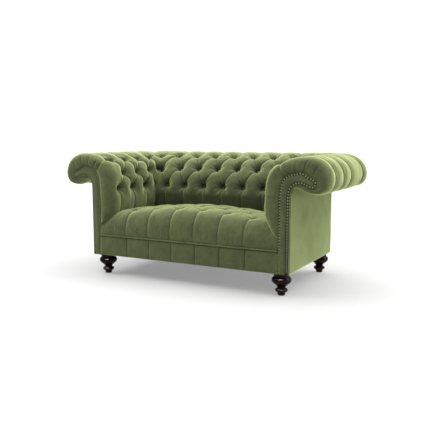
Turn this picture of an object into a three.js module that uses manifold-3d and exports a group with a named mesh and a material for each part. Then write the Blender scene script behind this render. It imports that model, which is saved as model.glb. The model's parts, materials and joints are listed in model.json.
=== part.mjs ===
// Two-seat chesterfield sofa: a timber frame on four turned feet, sprung seat, deep-buttoned
// arms and back that roll over into one scroll, and crook-shaped facings on the arm fronts.
// Millimetres. X runs to the right seen from the front, the front faces -Y, Z is up, and the
// origin lies on the floor under the middle. Depths below are measured from the facings.
import * as THREE from 'three';
import { mergeVertices } from 'three/addons/utils/BufferGeometryUtils.js';
import Module from 'manifold-3d';

const wasm = await Module();
wasm.setup();

// Driving dimensions of the body
const seatWidth = 1000; // between the faces of the arm pads
const seatDepth = 478; // from the facings to the face of the back pad
const legHeight = 126; // floor to the underside of the body
const armPadThickness = 102;
const backPadThickness = 112;
const armBoardThickness = 4.8;
const backBoardThickness = 3;
const backFrameDepth = 141.1; // from the back board to the outside back panel
const panelThickness = 12; // outside arm and outside back panels
const armRollOverhang = 218.7; // arm roll beyond the outside arm panel, before its puff
const backRollOverhang = 178; // back roll beyond the outside back panel
const rollUnderDrop = 43; // lowest line of the roll below the top of the outside panels
const rollPadding = 113.7; // over the roll boards
const frontRounding = 50; // of the arm roll's front edge
const cornerRadius = 235; // plan radius of the roll round the rear corners
const innerCornerRadius = 20; // plan radius where arm pad meets back pad

// Driving dimensions of the frame
const postSize = 36; // square posts
const railHeight = 113.5;
const railThickness = 26;
const armFrameHeight = 378; // posts above the seat rails
const rollBoardThickness = 21;
const panelDrop = 14.3; // outside panels stop this far below the post tops
const ribThickness = 18;
const ribLift = 20; // ribs clear the springs by this
const tackRailHeight = 40;
const tackRailLift = 60; // above the seat rails
const topRailHeight = 36;
const crossRailHeight = 80;
const crossRailWidth = 30;
const blockHeight = 60;
const blockWidth = 67;
const blockDepth = 59;
const dustCoverThickness = 2;
const facingThickness = 12;
const facingLap = 5; // facings cover this much of the arm pads
const scrollBoardThickness = 20;

// Driving dimensions of the seat
const springWire = 4;
const springCount = 6;
const springSpacing = 190;
const springWaveWidth = 50;
const springBends = 14;
const springBearing = 20; // each end lies this far over its rail
const hessianThickness = 2;
const seatPadHeight = 156; // at the arms
const seatCrown = 36;
const seatCrownPower = 2.4;
const seatNose = 150; // depth of the rounded front edge
const seatNosePower = 2.7; // squareness of the rounded front edge
const seatTail = 22; // the seat runs this far under the back pad
const seatTailDrop = 30; // fall of the crown at the back
const weltRadius = 4;
const borderThickness = 18;
const borderSetback = 2; // seat front and border lie this far behind the facings

// Driving dimensions of the tufting
const tuftDepth = 27; // buttons pull the arm pads in by this
const backTuftDepth = 40;
const cornerTuftDepth = 26; // of the valley where arm pad meets back pad
const foldDepth = 9; // folds that join the buttons
const pleatDepth = 8; // straight pleats below and above the buttons
const puff = 5; // swell of the panels between the folds
const seatTuftDepth = 11;
const seatPleatDepth = 5;
const borderPleatDepth = 3;
const borderPleatWidth = 16;
const armFirstColumn = 110; // facings to the first column of buttons
const cornerAllowance = 82; // last arm column to the face of the back pad
const armPanels = 2;
const backPanels = 7; // panels between the arms
const seatPanels = 7;
const endPanelShare = 1.25; // the seat's end panels against the others
const seatFirstRow = 110; // facings to the first row of the seat's buttons
const seatRows = 4;
const seatRowPitch = 100;

// Driving dimensions of the feet
const footInset = 63; // foot centre from the outside arm panel's face
const frontFootInset = 66; // from the facings
const rearFootInset = 33; // from the outside back panel's face
const footBunRadius = 55;
const footRingRadius = 35;
const footNeckRadius = 23;
const footBaseRadius = 20;
const footCollarRadius = 43;
const footSpigotRadius = 18;
const footSides = 20;
const boltRadius = 4;
const boltEngagement = 40; // into the foot and into the block
const roundSides = 12; // of bolts, piping and small holes

const clearance = 0.3; // between pieces that touch
const padClearance = 0.8; // between one pad and the next
const overrun = 5; // of every cutting tool past the face it cuts

// Heights
const frameBottom = legHeight + dustCoverThickness + 2 * clearance;
const railTop = frameBottom + railHeight;
const springBase = railTop + clearance;
const hessianBase = springBase + springWire + clearance;
const seatBase = hessianBase + hessianThickness + clearance;
const seatEdge = seatBase + seatPadHeight;
const frameTop = railTop + armFrameHeight;
const panelTop = frameTop - panelDrop;
const rollBoardBase = frameTop + clearance;
const rollBoardTop = rollBoardBase + rollBoardThickness;
const rollTop = rollBoardTop + rollPadding;
const rollUnder = panelTop - rollUnderDrop;
const padFootShare = 0.193; // foot of the pads, as a share of the posts above the seat rails
const padFoot = railTop + armFrameHeight * padFootShare;
const weltZ = seatBase + weltRadius;

// Widths from the middle of the sofa
const seatHalf = seatWidth / 2;
const padBackX = seatHalf + armPadThickness;
const postInnerX = padBackX + armBoardThickness + 2 * clearance;
const postOuterX = postInnerX + postSize;
const panelInnerX = postOuterX + clearance;
const bodyHalf = panelInnerX + panelThickness;
const rollOuterX = bodyHalf + armRollOverhang;
const bandInnerX = padBackX - facingLap;
const betweenFacings = bandInnerX - clearance;

// Depths from the front face of the facings
const padBackY = seatDepth + backPadThickness;
const ribFrontY = padBackY + backBoardThickness + 2 * clearance;
const panelInnerY = ribFrontY + backFrameDepth;
const postRearY = panelInnerY - clearance;
const bodyDepth = panelInnerY + panelThickness;
const rollOuterY = bodyDepth + backRollOverhang;
const scrollBoardY = facingThickness + clearance;
const postFrontY = scrollBoardY + scrollBoardThickness + clearance;
const borderBackY = borderSetback + borderThickness;
const frontRailY = borderBackY + clearance;
const frontBlockY = frontRailY + railThickness + clearance;
const rearBlockY = postRearY - blockDepth;
const rearRailY = rearBlockY - clearance - railThickness;
const ribRearY = postRearY - railThickness - clearance;
const sideRailX = postOuterX - railThickness;
const sideRailFrontY = postFrontY + postSize + clearance;
const sideRailRearY = postRearY - postSize - clearance;

const { lerp: mix, clamp, smoothstep } = THREE.MathUtils;

// Geometry helpers
function solidFrom(points, triangles) {
  const geometry = new THREE.BufferGeometry();
  const numbers = points.flatMap((p) => [p.x, p.y, p.z]);
  geometry.setAttribute('position', new THREE.Float32BufferAttribute(numbers, 3));
  geometry.setIndex(triangles.flat());
  if (signedVolume(geometry) < 0) turnOver(geometry);
  return geometry;
}

function signedVolume(geometry) {
  const position = geometry.getAttribute('position');
  const index = geometry.getIndex();
  const corners = [0, 1, 2].map(() => new THREE.Vector3());
  let volume = 0;
  for (let i = 0; i < index.count; i += 3) {
    corners.forEach((corner, k) => corner.fromBufferAttribute(position, index.getX(i + k)));
    volume += corners[0].dot(corners[1].cross(corners[2])) / 6;
  }
  return volume;
}

function turnOver(geometry) {
  const index = geometry.getIndex();
  for (let i = 0; i < index.count; i += 3) {
    const first = index.getX(i);
    index.setX(i, index.getX(i + 1));
    index.setX(i + 1, first);
  }
}

const edgesOf = ([a, b, c]) => [`${a},${b}`, `${b},${c}`, `${c},${a}`];

// A closed skin over rings of points, with a cap at each end. flat() lays an end ring out in a
// plane, and risesForward() picks the way that each quad of the skin is folded.
function loft(rings, flat, risesForward) {
  const size = rings[0].length;
  const sides = [];
  for (let i = 0; i + 1 < rings.length; i += 1) {
    for (let j = 0; j < size; j += 1) {
      const a = i * size + j;
      const b = i * size + ((j + 1) % size);
      if (risesForward(i, j)) sides.push([a, a + size, b + size], [a, b + size, b]);
      else sides.push([a, a + size, b], [b, a + size, b + size]);
    }
  }
  const taken = new Set(sides.flatMap(edgesOf));
  const caps = [0, rings.length - 1].flatMap((end) => {
    const outline = rings[end].map(flat);
    const flatFaces = THREE.ShapeUtils.triangulateShape(outline, []);
    const faces = flatFaces.map((face) => face.map((k) => k + end * size));
    const clashes = faces.some((face) => edgesOf(face).some((edge) => taken.has(edge)));
    return clashes ? faces.map(([a, b, c]) => [a, c, b]) : faces;
  });
  return solidFrom(rings.flat(), [...sides, ...caps]);
}

function merged(geometry) {
  const bare = geometry.clone();
  bare.deleteAttribute('normal');
  bare.deleteAttribute('uv');
  return mergeVertices(bare);
}

function toManifold(geometry) {
  const solid = merged(geometry);
  const vertProperties = solid.getAttribute('position').array;
  const triVerts = new Uint32Array(solid.getIndex().array);
  return new wasm.Manifold(new wasm.Mesh({ numProp: 3, vertProperties, triVerts }));
}

function cut(geometry, ...tools) {
  const remains = tools.reduce((solid, tool) => solid.subtract(toManifold(tool)), toManifold(geometry));
  const mesh = remains.getMesh();
  const result = new THREE.BufferGeometry();
  result.setAttribute('position', new THREE.BufferAttribute(mesh.vertProperties, 3));
  result.setIndex(new THREE.BufferAttribute(mesh.triVerts, 1));
  return result;
}

function mirrored(geometry) {
  const copy = merged(geometry).scale(-1, 1, 1);
  turnOver(copy);
  return copy;
}

function block(x0, x1, y0, y1, z0, z1) {
  const geometry = new THREE.BoxGeometry(x1 - x0, y1 - y0, z1 - z0);
  return geometry.translate((x0 + x1) / 2, (y0 + y1) / 2, (z0 + z1) / 2);
}

const shapeOf = (points) => new THREE.Shape(points.map(([a, b]) => new THREE.Vector2(a, b)));

function extruded(points, from, to, holes = []) {
  const shape = shapeOf(points);
  shape.holes.push(...holes);
  const settings = { depth: to - from, bevelEnabled: false, curveSegments: roundSides };
  return new THREE.ExtrudeGeometry(shape, settings).translate(0, 0, from);
}

// An outline in x and y raised along z, in x and z run back along y, or in y and z run along x
const raised = (points, z0, z1, holes) => extruded(points, z0, z1, holes);
const runBack = (points, y0, y1) => extruded(points, -y1, -y0).rotateX(Math.PI / 2);
const runAcross = (points, x0, x1) => extruded(points, x0, x1).rotateX(Math.PI / 2).rotateZ(Math.PI / 2);

const roundHole = (x, y, radius) => new THREE.Path().absarc(x, y, radius, 0, 2 * Math.PI);

const sharpestCorner = 0.3; // sine that limits how far a sharp corner moves out

// Moves the lines of a polyline sideways by a distance, and keeps its corners
function offsetLine(points, distance, closed) {
  const count = points.length;
  return points.map(([x, y], i) => {
    const before = points[closed ? (i + count - 1) % count : Math.max(i - 1, 0)];
    const after = points[closed ? (i + 1) % count : Math.min(i + 1, count - 1)];
    const into = new THREE.Vector2(x - before[0], y - before[1]).normalize();
    const out = new THREE.Vector2(after[0] - x, after[1] - y).normalize();
    if (into.length() === 0) into.copy(out);
    if (out.length() === 0) out.copy(into);
    const middle = new THREE.Vector2(into.y + out.y, -into.x - out.x).normalize();
    const reach = distance / Math.max(middle.x * out.y - middle.y * out.x, sharpestCorner);
    return [x + middle.x * reach, y + middle.y * reach];
  });
}

// Section of the pads: up the face inside the seat, over the roll and back under it.
// Face stations: share of the reach from face to outermost line, share of the height.
const faceShares = [
  { arm: [0.258, 0], back: [0.19, 0] },
  { arm: [0.158, 0.058], back: [0.115, 0.058] },
  { arm: [0.071, 0.151], back: [0.05, 0.151] },
  { arm: [0.021, 0.263], back: [0.012, 0.263] },
  { arm: [0, 0.38], back: [-0.004, 0.382] },
  { arm: [0, 0.497], back: [0.007, 0.497] },
  { arm: [0.011, 0.618], back: [0.06, 0.649] },
  { arm: [0.034, 0.733], back: [0.164, 0.787] },
  { arm: [0.118, 0.861], back: [0.281, 0.888] },
  { arm: [0.239, 0.933], back: [0.429, 0.962] },
];
// Roll stations over the top: share of the reach, share of the height between under and top
const crownShares = [
  { arm: [0.368, 0.929], back: [0.535, 0.97] },
  { arm: [0.526, 0.985], back: [0.646, 0.997] },
  { arm: [0.663, 1], back: [0.739, 1] },
  { arm: [0.789, 0.959], back: [0.823, 0.959] },
  { arm: [0.889, 0.853], back: [0.898, 0.858] },
  { arm: [0.963, 0.685], back: [0.958, 0.695] },
  { arm: [1, 0.401], back: [1, 0.401] },
];
// Roll stations underneath: share of the overhang, share of the height between under and top
const underShares = [[0.964, 0.203], [0.857, 0.061], [0.67, 0], [0.473, 0.03], [0.268, 0.122]];
const rowC = 5; // station of the lowest row of buttons
const rowB = 7;
const rowA = 9; // station of the top row of buttons
const shown = faceShares.length + crownShares.length + underShares.length;
const rollBoardShare = 0.6; // of the arm roll's overhang
const rollBoardReach = armRollOverhang * rollBoardShare;
const rollBoardX = bodyHalf + rollBoardReach;
const cornerCut = cornerRadius * (1 - Math.SQRT1_2); // the rounded corner's middle falls short by this
const cornerSlope = (backRollOverhang - cornerCut) / (armRollOverhang - cornerCut);
const rollBoardY = bodyDepth + rollBoardReach * cornerSlope;
const kneeShare = 0.545; // height at which the back board starts to lean
const kneeZ = mix(padFoot, rollBoardTop, kneeShare);
const leanShare = 0.71; // how far across its frame the back board leans
const leanY = padBackY + backFrameDepth * leanShare;

function sectionStations() {
  const reachX = rollOuterX - seatHalf;
  const reachY = rollOuterY - seatDepth;
  const upper = (low) => ({ arm, back }, j) => ({
    x: seatHalf + reachX * arm[0],
    y: seatDepth + reachY * back[0],
    armZ: mix(low, rollTop, arm[1]),
    backZ: mix(low, rollTop, back[1]),
    radius: mix(innerCornerRadius, cornerRadius, low === padFoot && j <= rowC ? 0 : arm[0]),
  });
  const under = ([reach, height]) => ({
    x: bodyHalf + armRollOverhang * reach,
    y: bodyDepth + backRollOverhang * reach,
    armZ: mix(rollUnder, rollTop, height),
    backZ: mix(rollUnder, rollTop, height),
    radius: cornerRadius * reach,
  });
  const hidden = ([x, y, z]) => ({ x, y, armZ: z, backZ: z, radius: 0 });
  return [
    ...faceShares.map(upper(padFoot)),
    ...crownShares.map(upper(rollUnder)),
    ...underShares.map(under),
    ...[
      [bodyHalf + clearance, bodyDepth + clearance, panelTop + clearance],
      [panelInnerX, panelInnerY, panelTop + clearance],
      [panelInnerX, panelInnerY, frameTop],
      [rollBoardX + clearance, rollBoardY + clearance, frameTop],
      [rollBoardX + clearance, rollBoardY + clearance, rollBoardTop + clearance],
      [padBackX, leanY, rollBoardTop + clearance],
      [padBackX, padBackY, kneeZ],
      [padBackX, padBackY, padFoot],
    ].map(hidden),
  ];
}

const stations = sectionStations();

// Columns of the pads' grid. Four steps make one panel between pleats, and the fan closes the
// arm and the back into the corner, where face and roll have their own shares of the way.
const stepsPerPanel = 4;
const armPitch = (seatDepth - armFirstColumn - cornerAllowance) / armPanels;
const backPitch = seatWidth / backPanels;
const armFanShares = { face: [0.2, 0.41, 0.54, 0.7, 0.85, 1], roll: [0.11, 0.205, 0.296, 0.464, 0.7, 1] };
const backFanShares = { face: [0.33, 0.66, 1], roll: [0.36, 0.68, 1] };
const frontStepShares = [0, 0.12, 0.4, 1]; // of the front rounding
const padFrontShare = 0.33; // the pad's cover starts this share of the facing behind its face
const padFrontY = facingThickness * padFrontShare;
const underRoundingShare = 0.5; // the roll's front edge is rounded less underneath

// Where a station's line runs at a share of its way from a start to the middle of the corner
function armPlace(station, start, share) {
  const straight = station.y - station.radius - start;
  const along = share * (straight + station.radius * Math.PI / 4);
  const turn = station.radius === 0 ? 0 : Math.max(along - straight, 0) / station.radius;
  return {
    x: station.x - station.radius * (1 - Math.cos(turn)),
    y: turn > 0 ? station.y - station.radius * (1 - Math.sin(turn)) : start + along,
    turn,
  };
}

function backPlace(station, start, share) {
  const swapped = armPlace({ x: station.y, y: station.x, radius: station.radius }, start, share);
  return { x: swapped.y, y: swapped.x, turn: Math.PI / 2 - swapped.turn };
}

// How much a station follows the roll rather than the face in the fan
const rollWeight = (j) => clamp((j - rowA) / (rowA - rowC), 0, 1);
const fanShare = (shares, step, j) => mix(shares.face[step], shares.roll[step], rollWeight(j));

// Depth of the buttoning on a regular column. Columns count in steps from a pleat.
function tuftingAt(column, j, deep) {
  const phase = THREE.MathUtils.euclideanModulo(column, stepsPerPanel);
  const middle = phase === stepsPerPanel / 2;
  if (j < 1 || j >= shown - 1) return 0;
  if (j === rowC || j === rowA) return phase === 0 ? deep : -puff;
  if (j === rowB) return middle ? deep : -puff;
  if (j > rowC && j < rowA) return phase % 2 === 1 ? foldDepth : 0;
  return phase === 0 ? pleatDepth : -puff;
}

// Depth of the buttoning in the fan, from its own list of buttons as [station, step]
function fanTuftingAt(step, lastStep, j, deep, buttons) {
  if (j < 1 || j >= shown - 1) return 0;
  if (step === lastStep) return j <= rowA ? cornerTuftDepth : pleatDepth;
  if (buttons.some(([row, at]) => row === j && at === step)) return deep;
  return j > rowA && buttons.some(([row, at]) => row === rowA && at === step) ? pleatDepth : 0;
}

// One ring of the pad's section. place(station, j) gives plan x, y and turn, blend() how far the
// heights have gone from the arm's to the back's, and depthAt(j) how far the cover is pulled in.
function padRing(place, blend, depthAt, insetAt = () => 0) {
  const raw = stations.map((station, j) => {
    const { x, y, turn } = place(station, j);
    return { point: new THREE.Vector3(x, y, mix(station.armZ, station.backZ, blend)), turn };
  });
  return raw.map(({ point, turn }, j) => {
    if (j >= shown) return point.clone();
    const before = raw[Math.max(j - 1, 0)].point;
    const tangent = raw[j + 1].point.clone().sub(before).normalize();
    const along = new THREE.Vector3(-Math.sin(turn), Math.cos(turn), 0);
    const outward = tangent.cross(along).normalize();
    return point.clone().addScaledVector(outward, -depthAt(j) - insetAt(j));
  });
}

// Rings of the right arm pad from its front to the corner. tool is the plain, swollen form
// that cuts neighbouring pads clear.
function armRings(tool) {
  const swell = puff + padClearance;
  const depth = (value) => (tool ? -swell : value);
  const fadeIn = (j) => (j === 0 ? 0 : clamp(j / rowC, 0, 1));
  const insetShare = (j) => fadeIn(j) * (j >= shown - underShares.length ? underRoundingShare : 1);
  const rings = frontStepShares.map((share) => {
    const away = frontRounding * (1 - share);
    const inset = frontRounding - Math.sqrt(frontRounding ** 2 - away ** 2);
    const y = tool && share === 0 ? -overrun : padFrontY + frontRounding * share;
    return padRing(({ x }) => ({ x, y, turn: 0 }), 0, () => depth(0), (j) => inset * insetShare(j));
  });
  for (let column = -1; column <= armPanels * stepsPerPanel; column += 1) {
    const y = armFirstColumn + (column * armPitch) / stepsPerPanel;
    const tufts = (j) => depth(tuftingAt(column, j, tuftDepth));
    rings.push(padRing(({ x }) => ({ x, y, turn: 0 }), 0, tufts));
  }
  const start = armFirstColumn + armPanels * armPitch;
  const lastStep = armFanShares.face.length - 1;
  const buttons = [[rowB, 1], [rowA, 2]];
  armFanShares.face.forEach((share, step) => {
    const place = (station, j) => armPlace(station, start, fanShare(armFanShares, step, j));
    const tufts = (j) => depth(fanTuftingAt(step, lastStep, j, tuftDepth, buttons));
    rings.push(padRing(place, smoothstep(share, 0, 1) / 2, tufts));
  });
  return rings;
}

// Rings of the back pad's right half, from the middle to the corner
function backHalfRings(tool) {
  const depth = (value) => (tool ? -puff - padClearance : value);
  const columns = (backPanels - 1) / 2 * stepsPerPanel;
  const rings = [];
  for (let column = 0; column <= columns; column += 1) {
    const x = (column * backPitch) / stepsPerPanel;
    const tufts = (j) => depth(tuftingAt(column, j, backTuftDepth));
    rings.push(padRing(({ y }) => ({ x, y, turn: Math.PI / 2 }), 1, tufts));
  }
  const start = (columns * backPitch) / stepsPerPanel;
  const lastStep = backFanShares.face.length - 1;
  backFanShares.face.forEach((share, step) => {
    const place = (station, j) => backPlace(station, start, fanShare(backFanShares, step, j));
    const tufts = (j) => depth(fanTuftingAt(step, lastStep, j, backTuftDepth, []));
    rings.push(padRing(place, 1 - smoothstep(share, 0, 1) / 2, tufts));
  });
  return rings;
}

const mirrorRing = (ring) => ring.map((p) => new THREE.Vector3(-p.x, p.y, p.z));
const shiftRing = (ring, dx, dy) => ring.map((p) => new THREE.Vector3(p.x + dx, p.y + dy, p.z));

// Folds of the skin follow the diamonds between the rows of buttons
function followsDiamond(column, j) {
  const firstHalf = THREE.MathUtils.euclideanModulo(column, stepsPerPanel) < stepsPerPanel / 2;
  return j >= rowB && j < rowA ? !firstHalf : firstHalf;
}

const mitreGap = clearance / 2;
const mitreLeanShare = 0.5; // the corner's seam runs back more than across

const layMitreOut = (p) => new THREE.Vector2(Math.abs(p.x) * mitreLeanShare + p.y, p.z);

function armPad(tool = false) {
  const rings = armRings(tool);
  rings.push(shiftRing(rings.pop(), mitreGap, -mitreGap));
  const firstColumn = frontStepShares.length + 1;
  return loft(rings, layMitreOut, (i, j) => followsDiamond(i - firstColumn, j));
}

function backPad(tool = false) {
  const half = backHalfRings(tool);
  half.push(shiftRing(half.pop(), -mitreGap, mitreGap));
  const rings = [...half.slice(1).reverse().map(mirrorRing), ...half];
  const middle = half.length - 1;
  return loft(rings, layMitreOut, (i, j) => followsDiamond(i - middle, j));
}

// Crook of the facing: up the inside of the band, round the scroll to its tip and back.
// Share of the overhang, or below 0 of the band's width, and share of the roll's height.
const crookShares = [
  [-0.915, 0.147], [-0.737, 0.35], [-0.39, 0.477], [0.009, 0.538], [0.152, 0.581], [0.313, 0.591],
  [0.464, 0.497], [0.607, 0.419], [0.674, 0.305], [0.598, 0.168], [0.455, 0.193], [0.25, 0.269],
  [0.161, 0.25], [0.1, 0.208], [0.04, 0.132], [0.008, 0.01],
];
const crookSpringShare = -0.218; // height at which the band starts to curve
const crookSteps = 40;

function crookOutline() {
  const place = ([reach, height]) => new THREE.Vector2(
    bodyHalf + reach * (reach < 0 ? bodyHalf - bandInnerX : armRollOverhang),
    mix(rollUnder, rollTop, height),
  );
  const low = mix(rollUnder, rollTop, crookSpringShare);
  const inner = new THREE.Vector2(bandInnerX, low);
  const outer = new THREE.Vector2(bodyHalf, low);
  const curve = new THREE.SplineCurve([inner, ...crookShares.map(place), outer]);
  const round = curve.getPoints(crookSteps).map((p) => [p.x, p.y]);
  return [[bandInnerX, legHeight], ...round, [bodyHalf, legHeight]];
}

const crook = crookOutline();

function facing() {
  return runBack(crook, 0, facingThickness);
}

function scrollBoard() {
  const inner = offsetLine(crook, clearance, true);
  const board = runBack(inner, scrollBoardY, scrollBoardY + scrollBoardThickness);
  const outside = bodyHalf + overrun;
  const top = panelTop + clearance;
  return cut(
    board,
    block(postOuterX, outside, 0, postFrontY, legHeight - overrun, top),
    block(0, outside, 0, postFrontY, legHeight - overrun, frameBottom),
  );
}

function cutArmPad() {
  return cut(armPad(), runBack(offsetLine(crook, -clearance, true), -overrun, postFrontY));
}

// Seat: crowned across and front to back, with shallow buttons and pleats down the front
const seatPitch = (2 * betweenFacings) / (seatPanels - 2 + 2 * endPanelShare);
const seatColumns = (seatPanels - 1) * stepsPerPanel;
const seatNoseShares = [0, 0.02, 0.07, 0.16, 0.3, 0.5];

function seatTop(x, y) {
  const across = seatCrown * (1 - Math.abs(x / seatHalf) ** seatCrownPower);
  const nose = clamp(1 - (y - borderSetback) / seatNose, 0, 1);
  const front = (1 - nose ** seatNosePower) ** (1 / seatNosePower);
  const fall = seatTailDrop * clamp((y - seatDepth / 2) / (seatDepth / 2), 0, 1) ** 2;
  const low = weltZ + weltRadius + clearance;
  return low + (seatEdge + across - low) * front - fall;
}

function seatTuft(column, y) {
  const row = (y - seatFirstRow) / seatRowPitch;
  const phase = THREE.MathUtils.euclideanModulo(column, stepsPerPanel);
  const onPleat = phase === stepsPerPanel / 2;
  if (row < 0) return onPleat ? seatPleatDepth : 0;
  if (row > seatRows - 1 || Math.abs(column) > seatColumns / 2) return 0;
  if (!Number.isInteger(row)) return phase % 2 === 1 ? seatPleatDepth : 0;
  const buttoned = row % 2 === 0 ? onPleat : phase === 0;
  return buttoned ? seatTuftDepth : 0;
}

function seat() {
  const nose = seatNoseShares.map((share) => borderSetback + seatNose * share);
  const last = seatDepth + seatTail;
  const rows = [];
  for (let y = seatFirstRow; y < last; y += seatRowPitch / 2) rows.push(y);
  const depths = [...nose, ...rows, last];
  const columns = [];
  for (let column = -seatColumns / 2; column <= seatColumns / 2; column += 1) columns.push(column);
  const edge = (betweenFacings * stepsPerPanel) / seatPitch;
  const ring = (column) => {
    const x = (column * seatPitch) / stepsPerPanel;
    const top = depths.map((y) => {
      const pull = seatTuft(column, y);
      const level = smoothstep(y, borderSetback, seatFirstRow);
      return new THREE.Vector3(x, y + pull * (1 - level), seatTop(x, y) - pull * level);
    });
    const step = borderSetback + 2 * weltRadius + clearance;
    const low = weltZ + weltRadius + clearance;
    return [
      ...top,
      new THREE.Vector3(x, last, seatBase),
      new THREE.Vector3(x, step, seatBase),
      new THREE.Vector3(x, step, low),
    ];
  };
  const rings = [-edge, ...columns, edge].map(ring);
  const pad = loft(rings, (p) => new THREE.Vector2(p.y, p.z), (i) => i % 2 === 0);
  return cut(pad, armPad(true), mirrored(armPad(true)), backPad(true));
}

function seatBorder() {
  const half = betweenFacings;
  const grooves = [];
  for (let k = 0; k < seatPanels - 1; k += 1) {
    const x = (k - (seatPanels - 2) / 2) * seatPitch;
    grooves.push([x - borderPleatWidth / 2, borderSetback], [x, borderSetback + borderPleatDepth]);
    grooves.push([x + borderPleatWidth / 2, borderSetback]);
  }
  const front = [[-half, borderSetback], ...grooves, [half, borderSetback]];
  return raised([...front, [half, borderBackY], [-half, borderBackY]], legHeight, seatBase - clearance);
}

function welt() {
  const cord = new THREE.CylinderGeometry(weltRadius, weltRadius, 2 * betweenFacings, roundSides);
  return cord.rotateZ(Math.PI / 2).translate(0, borderSetback + weltRadius, weltZ);
}

const bendSteps = 3; // straight runs that make up each bend of a spring

// A flat wire that waves from the front rail to the rear rail
function spring(x) {
  const start = frontRailY + railThickness - springBearing;
  const end = rearRailY + springBearing;
  const pitch = (end - start) / springBends;
  const radius = pitch / 2 - springWire / 2;
  const reach = springWaveWidth / 2 - radius;
  const line = [];
  for (let bend = 0; bend < springBends; bend += 1) {
    const side = bend % 2 === 0 ? 1 : -1;
    for (let k = 0; k <= bendSteps; k += 1) {
      const angle = (k / bendSteps - 0.5) * Math.PI;
      const y = start + pitch * (bend + 0.5) + (pitch / 2) * Math.sin(angle);
      line.push([x + side * (reach + radius * Math.cos(angle)), y]);
    }
  }
  const repeats = ([, y], i) => i > 0 && i % (bendSteps + 1) === 0 && y - line[i - 1][1] < clearance;
  const wire = line.filter((place, i) => !repeats(place, i));
  const left = offsetLine(wire, springWire / 2, false);
  const right = offsetLine(wire, -springWire / 2, false);
  return raised([...left, ...right.reverse()], springBase, springBase + springWire);
}

// Frame
function backBoardLine(distance, top) {
  const rise = new THREE.Vector2(leanY - padBackY, rollBoardTop - kneeZ).normalize();
  const knee = kneeZ - (distance * (1 - rise.y)) / rise.x;
  const run = (distance + rise.x * (top - kneeZ)) / rise.y;
  return [[padBackY + distance, knee], [padBackY + run, top]];
}

function backBoard() {
  const near = backBoardLine(clearance, frameTop);
  const far = backBoardLine(clearance + backBoardThickness, frameTop);
  const low = railTop + ribLift;
  const outline = [[near[0][0], low], ...near, ...far.reverse(), [far[1][0], low]];
  return runAcross(outline, -padBackX, padBackX);
}

function rib(x) {
  const front = backBoardLine(2 * clearance + backBoardThickness, frameTop);
  const low = railTop + ribLift;
  const rest = railTop + clearance;
  const outline = [
    [ribFrontY, low], ...front, [ribRearY, frameTop], [ribRearY, low],
    [rearBlockY, low], [rearBlockY, rest], [rearRailY, rest], [rearRailY, low],
  ];
  return runAcross(outline, x - ribThickness / 2, x + ribThickness / 2);
}

// Roll boards lie on the posts and meet in a mitre at the rear corners
function armRollBoard() {
  const outline = [
    [padBackX + clearance, postFrontY + clearance], [rollBoardX, postFrontY + clearance],
    [rollBoardX, rollBoardY - mitreGap], [padBackX + clearance, leanY + clearance - mitreGap],
  ];
  return raised(outline, rollBoardBase, rollBoardTop);
}

function backRollBoard() {
  const near = padBackX + clearance;
  const far = rollBoardX;
  const outline = [
    [-near, leanY + clearance + mitreGap], [near, leanY + clearance + mitreGap],
    [far, rollBoardY + mitreGap], [-far, rollBoardY + mitreGap],
  ];
  return raised(outline, rollBoardBase, rollBoardTop);
}

const footX = bodyHalf - footInset;
const footPlaces = { front: frontFootInset, rear: bodyDepth - rearFootInset };

function cornerBlock(y0, footY) {
  const x1 = postInnerX - clearance;
  const x0 = x1 - blockWidth;
  const y1 = y0 + blockDepth;
  const outline = [[x0, y0], [x1, y0], [x1, y1], [x0, y1]];
  const hole = roundHole(footX, footY, boltRadius + clearance);
  return raised(outline, frameBottom, frameBottom + blockHeight, [hole]);
}

// Heights of the turned foot as shares of the leg height
const footShares = { toe: 0.037, base: 0.11, ringTop: 0.325, neck: 0.375, cup: 0.5, collar: 0.85 };
const toeShare = 0.9; // of the base radius
const cupShare = 0.66; // of the way from the neck's radius to the bun's
const footSteps = 4;

function footProfile() {
  const at = (share) => legHeight * share;
  const points = [[0, 0], [footBaseRadius * toeShare, 0], [footBaseRadius, at(footShares.toe)]];
  const bead = (low, high, edge, peak) => {
    for (let k = 0; k <= footSteps; k += 1) {
      const swing = Math.sin((k / footSteps) * Math.PI);
      points.push([mix(edge, peak, swing), mix(at(low), at(high), k / footSteps)]);
    }
  };
  bead(footShares.base, footShares.ringTop, footNeckRadius, footRingRadius);
  points.push([footNeckRadius, at(footShares.neck)]);
  bead(footShares.cup, footShares.collar, mix(footNeckRadius, footBunRadius, cupShare), footBunRadius);
  points.push([footCollarRadius, at(footShares.collar)], [footCollarRadius, legHeight - clearance]);
  points.push([footSpigotRadius, legHeight - clearance], [footSpigotRadius, frameBottom - clearance]);
  points.push([boltRadius + clearance, frameBottom - clearance]);
  points.push([boltRadius + clearance, frameBottom - boltEngagement - clearance]);
  points.push([0, frameBottom - boltEngagement - clearance]);
  return points.map(([r, z]) => new THREE.Vector2(r, z));
}

function foot(y) {
  return new THREE.LatheGeometry(footProfile(), footSides).rotateX(Math.PI / 2).translate(footX, y, 0);
}

function footBolt(y) {
  const length = 2 * boltEngagement;
  const bolt = new THREE.CylinderGeometry(boltRadius, boltRadius, length, roundSides);
  return bolt.rotateX(Math.PI / 2).translate(footX, y, frameBottom);
}

function dustCover() {
  const half = postOuterX;
  const outline = [[-half, frontRailY], [half, frontRailY], [half, postRearY], [-half, postRearY]];
  const centres = Object.values(footPlaces).flatMap((y) => [[footX, y], [-footX, y]]);
  const holes = centres.map(([x, y]) => roundHole(x, y, footSpigotRadius + clearance));
  const low = legHeight + clearance;
  return raised(outline, low, low + dustCoverThickness, holes);
}

// Finishes
function finish(color, roughness, metalness) {
  return new THREE.MeshStandardMaterial({ color, roughness, metalness });
}

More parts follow.
